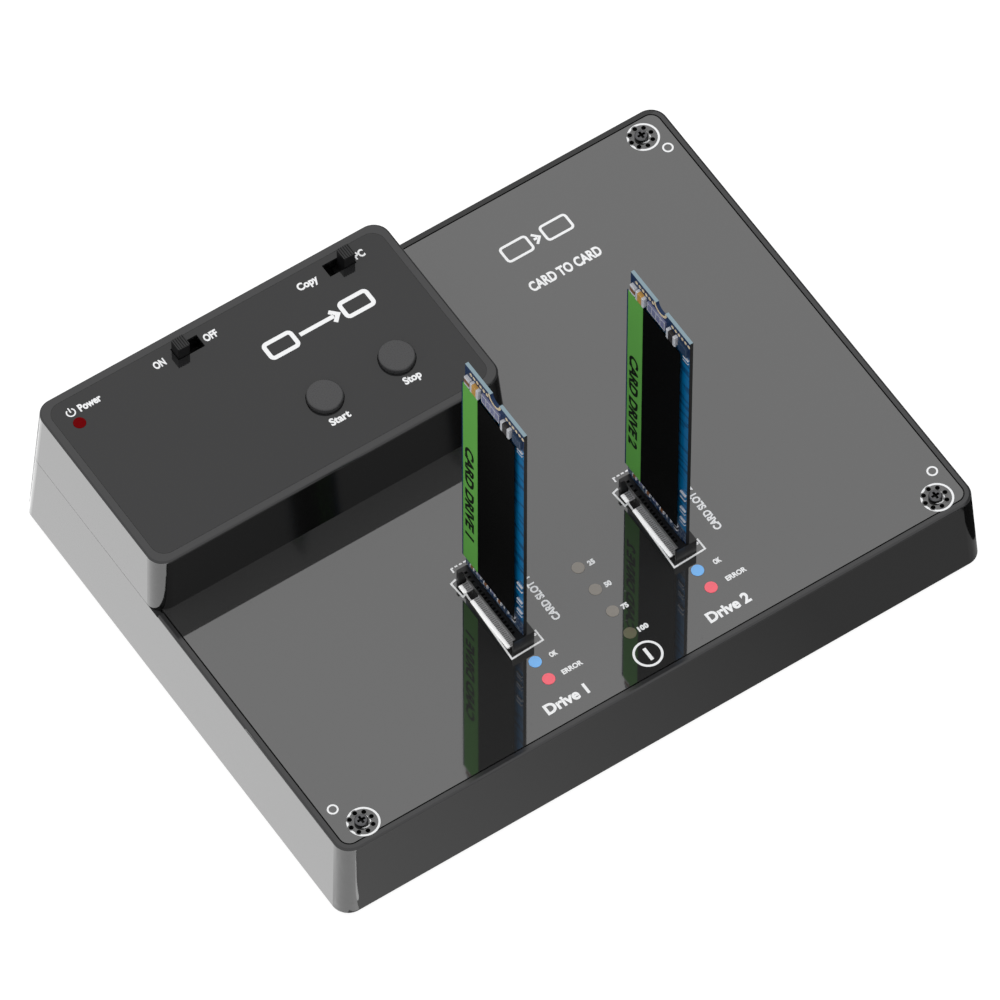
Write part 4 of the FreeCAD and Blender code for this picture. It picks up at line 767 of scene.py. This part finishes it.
class DUPLICATOR_OT_sockets(bpy.types.Operator):
    """Finish the card sockets and solder their contacts to the board"""

    bl_idname = "duplicator.sockets"
    bl_label = "Card sockets"

    def execute(self, context):
        plastic = satin_plastic("socket_plastic", srgb(15, 15, 16), 0.32)
        metal = Finish("contact_metal", srgb(206, 206, 207), 0.34, metallic=0.25)
        # Painted shade: the tails' colour darkens upwards, towards the housing above them.
        tail_shade_share = metal.add("ShaderNodeMapRange", {}, {"Value": metal.axis("Z"), "From Min": BOARD_TOP,
                                                    "From Max": BOARD_TOP + TAIL_RISE})
        metal.feed("Base Color", metal.mix(tail_shade_share, metal.colour, srgb(*TAIL_SHADE)))
        metal.feed("Roughness", 0.3 + 0.1 * metal.noise(0.4 * MM))
        # Painted highlight: the solder is coloured near white and glows, standing in for the light that
        # it catches.
        solder = Finish("solder", srgb(254, 254, 254), 0.4)
        solder.feed("Base Color", solder.tone(solder.noise(0.5 * MM), 0.04))
        solder.feed("Emission Color", solder.colour)
        solder.feed("Emission Strength", 0.35)
        for number in (1, 2):
            plastic.dress(f"socket_{number}_housing")
            metal.dress(f"socket_{number}_contacts")
            low, high = CARD_BOXES[number]
            middle = (low.x + high.x) / 2 - SOCKET_SHIFT
            shapes = [solder_row(middle + outer * MM, first * MM, count, CONTACT_PITCH, SOLDER_WIDTH)
                      for outer, first, count in SOLDER_ROWS]
            make_piece(f"socket_{number}_solder", shapes, solder, "chassis",
                       smooth=True)
        return {"FINISHED"}


# Width of the strip along a label's edge in the board's colour.
LABEL_MARGIN = 0.4 * MM


class DUPLICATOR_OT_cards(bpy.types.Operator):
    """Finish the card drives"""

    bl_idname = "duplicator.cards"
    bl_label = "Card drives"

    def execute(self, context):
        cards = context.scene.duplicator.cards
        low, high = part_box("drive_1_label")
        board = card_lacquer(cards, low.z, high.z)
        chip = satin_plastic("chip_resin", srgb(26, 26, 27), 0.5)
        label = Finish("label_paper", cards.label_field, 0.6, ior=1.1)
        band = label.axis("Y") > high.y - cards.band_share * (high.y - low.y)
        margin = label.axis("Y") > high.y - LABEL_MARGIN
        fibre = label.noise(0.4 * MM, detail=4.0)
        face = label.mix(band, cards.label_field, cards.label_band)
        label.feed("Base Color", label.mix(margin, face, cards.lacquer_top))
        label.feed("Roughness", 0.5 + 0.2 * fibre)
        for number in (1, 2):
            board.dress(f"drive_{number}_board")
            chip.dress(f"drive_{number}_chips")
            label.dress(f"drive_{number}_label")
        return {"FINISHED"}


# Parts on a card: finish of the body, across and along from the card's middle and foot, width,
# length and height, and where the metal ends are: at the sides, at the top and bottom, or none.
CARD_PARTS = [
    ("brown", 9.3, 75.7, 1.8, 2.6, 0.8, "ends"),
    ("tan", 6.5, 75.9, 2.9, 3.0, 0.9, "sides"),
    ("lilac", 1.0, 76.0, 6.6, 3.0, 0.45, "none"),
    ("dark", -5.0, 75.9, 3.2, 3.0, 0.9, "sides"),
    ("teal", -8.8, 76.0, 3.0, 3.0, 0.6, "none"),
    ("dark", -7.6, 6.4, 1.0, 1.8, 0.4, "ends"),
    ("teal", -5.0, 6.6, 1.8, 1.2, 0.4, "sides"),
    *(("brown", across, 6.2, 1.6, 1.0, 0.5, "sides") for across in (8.0, 2.8, -2.4)),
    *(("lilac", across, 6.6, 1.8, 1.2, 0.4, "sides") for across in (5.4, 0.2)),
    *(("blue", -9.8, along, 1.9, length, 0.35, "ends")
      for along, length in ((11.6, 1.5), (15.6, 1.5), (21.3, 2.2), (73.0, 1.3))),
]
PART_COLOURS = {"brown": (128, 84, 52), "tan": (196, 150, 76), "lilac": (120, 124, 158),
                "dark": (38, 34, 36), "teal": (26, 54, 84), "blue": (0, 100, 152)}
RESISTOR_ROW = CARD_PARTS[2]

# Plated dots: the first of each group of six, their step, and their height above the card's foot.
DOT_STARTS = (8.8, -4.5)
DOT_STEP = 1.2
DOT_HEIGHT = 78.5
# A dot's profile, and the plated ring at the notch: radius of its middle line and its width.
DOT = [(0, 0), (0.46 * MM, 0), (0.44 * MM, 0.04 * MM), (0, 0.04 * MM)]
NOTCH_RING = (2.1 * MM, 0.62 * MM)
# Contact fingers of a row, from its end at +10 mm, without those that the key leaves out.
FINGER_ROW = [10.0 - 0.5 * k for k in range(40) if k not in range(15, 20)]


class DUPLICATOR_OT_card_parts(bpy.types.Operator):
    """Model the small parts, the plated dots, the notch ring and the contact fingers of the cards"""

    bl_idname = "duplicator.card_parts"
    bl_label = "Card parts"

    def execute(self, context):
        cards = context.scene.duplicator.cards
        finishes = {name: satin_plastic(f"part_{name}", srgb(*tone), 0.4, depth=0)
                    for name, tone in PART_COLOURS.items()}
        tin = satin_plastic("part_tin", srgb(206, 208, 214), 0.3, depth=0)
        plating = satin_plastic("part_plating", cards.plating, 0.35, depth=0)
        gold = plated_metal("finger_gold", srgb(214, 170, 88), 0.25)
        for number in (1, 2):
            body = f"drive_{number}"
            for name, finish in finishes.items():
                shapes = [on_card(slab(width * MM, length * MM, 0.12 * MM,
                                       [(0, 0), (0, height * 0.86 * MM), (0.1 * MM, height * MM)]),
                                  number, across * MM, along * MM)
                          for kind, across, along, width, length, height, _ in CARD_PARTS
                          if kind == name]
                make_piece(f"drive_{number}_{name}_parts", shapes, finish, body)
            shapes = array_lines(number, *RESISTOR_ROW[1:6])
            for _, across, along, width, length, height, ends in CARD_PARTS:
                if ends != "none":
                    shapes += part_ends(number, across, along, width, length, height, ends)
            caps = make_piece(f"drive_{number}_part_ends", shapes, tin, body)
            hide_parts(f"drive_{number}_components")

            shapes = [on_card(turned(DOT, 14), number, (first - DOT_STEP * k) * MM, DOT_HEIGHT * MM)
                      for first in DOT_STARTS for k in range(6)]
            top = CARD_BOXES[number][1].z - CARD_BOXES[number][0].z
            radius, width = NOTCH_RING
            half = line_band(arc(0, 0, radius, 184, 356, 28), width, -SINK, 0.04 * MM)
            shapes.append(on_card(half, number, 0, top))
            make_piece(f"drive_{number}_plating", shapes, plating, body)

            finger = slab(0.34 * MM, 3.0 * MM, 0.05 * MM, [(0, -SINK), (0, 0.02 * MM)])
            front = [on_card(finger, number, across * MM, 1.7 * MM) for across in FINGER_ROW]
            back = [turn_over(shape, number) for shape in front]
            make_piece(f"drive_{number}_fingers", front + back, gold, body)
        return {"FINISHED"}


# The word on a label: its middle above the card's foot, its length and its boldness.
LABEL_WORD = (35 * MM, 34 * MM, 0.04)


class DUPLICATOR_OT_card_print(bpy.types.Operator):
    """Print a plain word on the green band of each card's label"""

    bl_idname = "duplicator.card_print"
    bl_label = "Card print"

    def execute(self, context):
        ink = Finish("label_ink", srgb(10, 20, 8), 0.6, ior=1.2)
        ink.feed("Roughness", 0.5 + 0.2 * ink.noise(0.5 * MM))
        settings = context.scene.duplicator
        middle, span, boldness = LABEL_WORD
        for number in (1, 2):
            low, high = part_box(f"drive_{number}_label")
            card_low, card_high = CARD_BOXES[number]
            band = settings.cards.band_share * (high.y - low.y)
            across = high.y - band / 2 - (card_low.y + card_high.y) / 2
            face = card_low.x - low.x
            points, faces = word(f"CARD DRIVE {number}", 0, 0, settings.print.card, face - SINK,
                                 0.04 * MM, span, 0, boldness)
            upright = np.stack([-points[:, 1], -points[:, 0], points[:, 2]], axis=-1), faces
            make_piece(f"drive_{number}_word", [on_card(upright, number, across, middle)], ink,
                       f"drive_{number}")
        return {"FINISHED"}


INNER_PARTS = [
    (satin_plastic, "jack_plastic", (20, 20, 20), 0.45, ["dc_jack_body", "usb_c_tongue", "board_link"]),
    (plated_metal, "pin_metal", (200, 170, 90), 0.25, ["board_link_pins"]),
    (plated_metal, "shell_metal", (190, 190, 192), 0.25, ["usb_c_shell", "dc_jack_pin"]),
    (satin_plastic, "chip_plastic", (22, 22, 23), 0.5, ["controller_chips"]),
    (satin_plastic, "coil_ferrite", (60, 60, 62), 0.55, ["power_coils"]),
    (plated_metal, "capacitor_can", (190, 192, 196), 0.3, ["capacitors"]),
]


class DUPLICATOR_OT_ports(bpy.types.Operator):
    """Finish the ports and the parts inside"""

    bl_idname = "duplicator.ports"
    bl_label = "Ports and inner parts"

    def execute(self, context):
        dress_plain(INNER_PARTS)
        return {"FINISHED"}


# Places on the main board, in millimetres: corner screws, the small rings beside them, and the ringed
# number. A screw's printed rings are off its middle by PAD_SHIFT, and its vias are on a circle.
SCREW_PLACES = [(-73.1, -56.25), (73.1, -56.25), (73.1, 55.55)]
MARK_PLACES = [(-76.4, -50.35), (76.4, -50.35), (76.4, 50.15)]
BADGE_PLACE = (0.26, -54.94)
PAD_SHIFT = (0.4, -0.17)
VIA_CIRCLE = 2.53
INNER_RING = (1.62 * MM, 0.24 * MM)
# Outline round a socket, in millimetres, its dashed end, and the dot at its first contact.
BAY_OUTLINE = [(-23.2, -16.9), (-24.68, -17.29), (-24.38, -21.43), (-23.43, -21.15),
               (-23.50, -22.01), (-24.37, -40.11), (-16.28, -39.79), (-16.30, -36.77)]
BAY_END = [((x, -14.2), (x - 0.7, -14.2)) for x in (-18.8, -19.9, -21.0)]
BAY_END.append(((-22.1, -14.2), (-22.6, -14.2), (-22.6, -15.3)))
BAY_DOT = (-16.95, -37.7)
BOARD_WORDS = [
    ("caption", 0, 0.06, [("25", 3.09, -29.15, 1.6), ("50", 3.0, -35.6, 1.6), ("75", 2.9, -42.2, 1.6),
                          ("100", 3.1, -48.8, 2.5), ("OK", -16.4, -43.75, 1.8),
                          ("OK", 25.5, -43.65, 1.8)]),
    ("caption", 0, 0.04, [("ERROR", -14.95, -48.8, 5.0), ("ERROR", 27.0, -48.6, 5.0)]),
    ("title", 0, 0.04, [("Drive 1", -20.45, -54.75, 10.6), ("Drive 2", 20.9, -54.65, 10.6)]),
    ("slot", 90, 0.04, [("CARD SLOT 1", -10.8, -31.0, 12.4), ("CARD SLOT 2", 30.4, -31.1, 12.4)]),
    ("number", 0, 0.04, [("1", *BADGE_PLACE, 0)]),
    ("subtitle", 0, 0.04, [("CARD TO CARD", 40.3, 36.3, 18.2)]),
]
# The sign on the board: its place, span, height and line.
BOARD_SIGN = (39.6 * MM, 46.2 * MM, 17.4 * MM, 4.6 * MM, 0.6 * MM)


class DUPLICATOR_OT_board_print(bpy.types.Operator):
    """Print the rings, outlines and words on the main board"""

    bl_idname = "duplicator.board_print"
    bl_label = "Board print"

    def execute(self, context):
        sizes = context.scene.duplicator.print
        ink = printed_ink("white_ink", sizes.ink)
        low, high = BOARD_TOP - SINK, BOARD_TOP + sizes.thickness
        shapes = []
        for x, y in np.add(SCREW_PLACES, PAD_SHIFT) * MM:
            shapes.append(ring(x, y, sizes.pad_radius, sizes.line, low, high))
            shapes.append(ring(x, y, *INNER_RING, low, high, 48))
        shapes += [ring(x, y, sizes.mark_radius, sizes.line * 0.85, low, high, 40)
                   for x, y in np.array(MARK_PLACES) * MM]
        x, y = np.array(BADGE_PLACE) * MM
        shapes.append(ring(x, y, sizes.badge_radius, sizes.line * 1.15, low, high))
        make_piece("board_print_rings", shapes, ink, "chassis")

        shell = context.scene.duplicator.shell
        clearance = Finish("via_clearance", shell.board, 0.05, ior=shell.board_ior)
        clearance.feed("Base Color", clearance.tone(clearance.noise(30 * MM), 0.05))
        # Painted shade: the vias are flat near-black discs that stand for the shade inside their holes.
        hole_shade = Finish("via_hole", srgb(6, 6, 6), 0.7, ior=1.05)
        hole_shade.feed("Base Color", hole_shade.tone(hole_shade.noise(0.3 * MM), 0.2))
        vias = [point * MM for x, y in SCREW_PLACES for point in arc(x, y, VIA_CIRCLE, 0, 315, 8)]
        for name, radius, over, finish in (("board_via_clearances", 0.78 * MM, 0.005 * MM, clearance),
                                           ("board_vias", 0.53 * MM, 0.011 * MM, hole_shade)):
            make_piece(name, [disc(x, y, radius, low, high + over, 18) for x, y in vias], finish,
                       "chassis")

        shapes = []
        for shift in (0, BAY_SHIFT):
            shapes += [line_band(np.array(path) * MM + [shift, 0], sizes.line * share, low, high)
                       for path, share in [(BAY_OUTLINE, 0.9)] + [(dash, 0.8) for dash in BAY_END]]
            shapes.append(disc(BAY_DOT[0] * MM + shift, BAY_DOT[1] * MM, 0.36 * MM, low, high, 16))
        make_piece("board_print_bays", shapes, ink, "chassis")

        shapes = printed_words(BOARD_WORDS, sizes, low) + copy_sign(*BOARD_SIGN, low, high)
        make_piece("board_print_words", shapes, ink, "chassis")
        return {"FINISHED"}


FASCIA_WORDS = [("control", 0, 0.04, [
    ("Power", -68.9, 54.84, 5.5), ("ON", -51.19, 54.94, 2.8), ("OFF", -38.22, 54.99, 3.3),
    ("Copy", -13.66, 54.82, 5.0), ("PC", -0.34, 54.89, 2.4), ("Start", -26.79, 22.14, 4.9),
    ("Stop", -8.37, 22.23, 4.2)])]
FASCIA_SIGN = (-17.4 * MM, 44.5 * MM, 27 * MM, 5.0 * MM, 1.0 * MM)
# The power sign: its place, its radius, the top of its stroke and the width of its line.
POWER_PLACE = (-73.55 * MM, 54.85 * MM)
POWER_RADIUS = 0.95 * MM
POWER_STROKE = 1.3 * MM
POWER_LINE = 0.3 * MM


class DUPLICATOR_OT_fascia_print(bpy.types.Operator):
    """Print the words and signs on the fascia"""

    bl_idname = "duplicator.fascia_print"
    bl_label = "Fascia print"

    def execute(self, context):
        sizes = context.scene.duplicator.print
        ink = printed_ink("fascia_ink", sizes.ink)
        low, high = FASCIA_TOP - SINK, FASCIA_TOP + sizes.thickness
        x, y = POWER_PLACE
        shapes = printed_words(FASCIA_WORDS, sizes, low)
        shapes.append(line_band(arc(x, y, POWER_RADIUS, 125, 415, 32), POWER_LINE, low, high))
        shapes.append(line_band([(x, y), (x, y + POWER_STROKE)], POWER_LINE, low, high))
        make_piece("fascia_print_words", shapes, ink, "chassis")
        shapes = copy_sign(*FASCIA_SIGN, low, high)
        make_piece("fascia_print_sign", shapes, ink, "chassis")
        return {"FINISHED"}


# Stage

def soft_lamp(name, place, aim, size, radiance):
    """A rectangular lamp of a radiance at a place, turned towards a point. No picture shows the lamp
    itself. Its power is pi times its radiance times its area."""
    light = bpy.data.lights.new(name, "AREA")
    light.shape = "RECTANGLE"
    light.size, light.size_y = size
    light.energy = math.pi * radiance * size[0] * size[1]
    lamp = bpy.data.objects.new(name, light)
    lamp.location = place
    lamp.rotation_euler = (Vector(aim) - Vector(place)).to_track_quat("-Z", "Y").to_euler()
    lamp.visible_camera = False
    bpy.context.scene.collection.objects.link(lamp)


FLOOR_REACH = 3.0
# The mirrored floor: its level from one place along X to another, and its dark patch, from one place
# along X to another and up to a place along Y.
FLOOR_FALL = {"From Min": -80 * MM, "From Max": 45 * MM, "To Min": 0.72, "To Max": 0.3}
DARK_PATCH = (86 * MM, 120 * MM, -30 * MM)
# The mirrored sky falls off to its last level between these shares of the way to the right.
SKY_FALL = (0.38, 0.6)
SKY_RIGHT = 0.08
# The large soft panel: its middle and its sides, in metres.
KEY_PLACE = (0.6, 0.9, 1.68)
KEY_SIZE = (1.2, 1.2)


def make_floor(stage):
    """A wide pale floor, white where it is seen, with the object's shadow. In a mirror it is grey, and
    falls off towards the right, with a dark patch past the right front corner."""
    side = np.linspace(-FLOOR_REACH, FLOOR_REACH, 9)
    x, y = np.meshgrid(side, side, indexing="ij")
    points = np.stack([x, y, np.full_like(x, -0.02 * MM)], axis=-1).reshape(-1, 3)
    mesh = bpy.data.meshes.new("floor")
    mesh.from_pydata(points, [], grid_faces(9, 9, False, False))
    floor = bpy.data.objects.new("floor", mesh)
    bpy.context.scene.collection.objects.link(floor)
    finish = Finish("pale_floor", stage.floor, 0.9, ior=1.1)
    seen = finish.add("ShaderNodeLightPath", {}, {}, "Is Camera Ray")
    mirrored = finish.add("ShaderNodeLightPath", {}, {}, "Is Glossy Ray")
    glow = finish.add("ShaderNodeEmission", {}, {"Strength": seen * stage.floor_glow})
    lit = finish.add("ShaderNodeAddShader", {}, {1: glow})
    finish.tree.links.new(finish.shader.outputs[0], lit.socket.node.inputs[0])
    along = finish.axis("X")
    fall = finish.add("ShaderNodeMapRange", {}, {"Value": along, **FLOOR_FALL})
    west, east, north = DARK_PATCH
    patch = (along > west) * (along < east) * (finish.axis("Y") < north)
    mirror = finish.add("ShaderNodeEmission", {}, {"Strength": fall * (1 - 0.95 * patch)})
    blend = finish.add("ShaderNodeMixShader", {}, {0: mirrored, 1: lit, 2: mirror})
    finish.join(blend, finish.tree.nodes["Material Output"].inputs["Surface"])
    mesh.materials.append(finish.material)


def sky_fall(nodes, links, level):
    """The mirrored sky's level by direction: even, then falling off towards the right."""
    direction = nodes.new("ShaderNodeTexCoord")
    parts = nodes.new("ShaderNodeSeparateXYZ")
    fall = nodes.new("ShaderNodeMapRange")
    links.new(direction.outputs["Generated"], parts.inputs[0])
    links.new(parts.outputs["X"], fall.inputs["Value"])
    for name, number in (("From Min", SKY_FALL[0]), ("From Max", SKY_FALL[1]), ("To Min", level),
                         ("To Max", SKY_RIGHT)):
        fall.inputs[name].default_value = number
    return fall.outputs["Result"]


def make_sky(stage):
    """An even sky: white where it is seen, pale in a reflection apart from its dark right side, and
    a plain level as light."""
    world = bpy.data.worlds.new("sky")
    bpy.context.scene.world = world
    world.use_nodes = True
    nodes = world.node_tree.nodes
    links = world.node_tree.links
    path = nodes.new("ShaderNodeLightPath")
    output = nodes["World Output"]
    before = nodes["Background"]
    before.inputs["Color"].default_value = (1, 1, 1, 1)
    before.inputs["Strength"].default_value = stage.sky
    for ray, level in (("Is Glossy Ray", stage.sky_mirrored), ("Is Camera Ray", 1.0)):
        plain = nodes.new("ShaderNodeBackground")
        plain.inputs["Color"].default_value = (1, 1, 1, 1)
        plain.inputs["Strength"].default_value = level
        if ray == "Is Glossy Ray":
            links.new(sky_fall(nodes, links, level), plain.inputs["Strength"])
        blend = nodes.new("ShaderNodeMixShader")
        links.new(path.outputs[ray], blend.inputs[0])
        links.new(before.outputs[0], blend.inputs[1])
        links.new(plain.outputs[0], blend.inputs[2])
        before = blend
    links.new(before.outputs[0], output.inputs["Surface"])


def make_camera(stage):
    """A long-lens camera that looks down at the object from the front left."""
    azimuth, elevation = stage.azimuth, stage.elevation
    back = Vector((math.sin(azimuth) * math.cos(elevation),
                   -math.cos(azimuth) * math.cos(elevation), math.sin(elevation)))
    right = Vector((math.cos(azimuth), math.sin(azimuth), 0))
    up = back.cross(right)
    lens = bpy.data.cameras.new("camera")
    lens.lens = stage.lens
    lens.sensor_width = 36
    lens.clip_start = 0.1
    lens.clip_end = 20
    camera = bpy.data.objects.new("camera", lens)
    turn = Matrix((right, up, back)).transposed().to_4x4()
    camera.matrix_world = Matrix.Translation(Vector(stage.aim) + back * stage.distance) @ turn
    bpy.context.scene.collection.objects.link(camera)
    bpy.context.scene.camera = camera


# Low strips on the floor that the left walls and the left front corner mirror: their sides in
# millimetres, west, east, south and north, and their share of the strip's radiance.
STRIPS = [("strip", -130, -81, -63.5, 120, 1.0), ("corner_strip", -130, -77.7, -160, -63.5, 1.0),
          ("corner_glint", -77.7, -76.4, -160, -66, 1.8)]


class DUPLICATOR_OT_stage(bpy.types.Operator):
    """Set up the floor, the light and the camera"""

    bl_idname = "duplicator.stage"
    bl_label = "Stage"

    def execute(self, context):
        stage = context.scene.duplicator.stage
        make_camera(stage)
        make_floor(stage)
        make_sky(stage)
        soft_lamp("key", KEY_PLACE, (0, 0, 0), KEY_SIZE, stage.key)
        for name, west, east, south, north, radiance in STRIPS:
            middle = Vector(((west + east) / 2, (south + north) / 2, 0.5)) * MM
            soft_lamp(name, middle, middle + Vector((0, 0, 1)),
                      ((east - west) * MM, (north - south) * MM), radiance * stage.strip)
        context.scene.view_settings.view_transform = "Standard"
        return {"FINISHED"}


PIECES = (DUPLICATOR_OT_shell, DUPLICATOR_OT_fasteners, DUPLICATOR_OT_controls,
          DUPLICATOR_OT_lamps, DUPLICATOR_OT_sockets, DUPLICATOR_OT_cards, DUPLICATOR_OT_card_parts,
          DUPLICATOR_OT_card_print, DUPLICATOR_OT_ports, DUPLICATOR_OT_board_print,
          DUPLICATOR_OT_fascia_print, DUPLICATOR_OT_stage)


class DUPLICATOR_PT_sidebar(bpy.types.Panel):
    """Lists the pieces of the duplicator"""

    bl_idname = "DUPLICATOR_PT_sidebar"
    bl_label = "Duplicator"
    bl_space_type = "VIEW_3D"
    bl_region_type = "UI"
    bl_category = "Duplicator"

    def draw(self, context):
        for piece in PIECES:
            self.layout.operator(piece.bl_idname)


CLASSES = (DuplicatorShellSettings, DuplicatorPrintSettings, DuplicatorLampSettings,
           DuplicatorCardSettings, DuplicatorStageSettings, DuplicatorSettings, *PIECES,
           DUPLICATOR_PT_sidebar)


def register():
    """Adds the classes and the settings."""
    for each in CLASSES:
        bpy.utils.register_class(each)
    bpy.types.Scene.duplicator = PointerProperty(type=DuplicatorSettings)


def unregister():
    """Takes the settings and the classes away again."""
    del bpy.types.Scene.duplicator
    for each in reversed(CLASSES):
        bpy.utils.unregister_class(each)


def main():
    """Makes every piece in turn."""
    register()
    for piece in PIECES:
        group, name = piece.bl_idname.split(".")
        getattr(getattr(bpy.ops, group), name)()


if __name__ == "__main__":
    main()
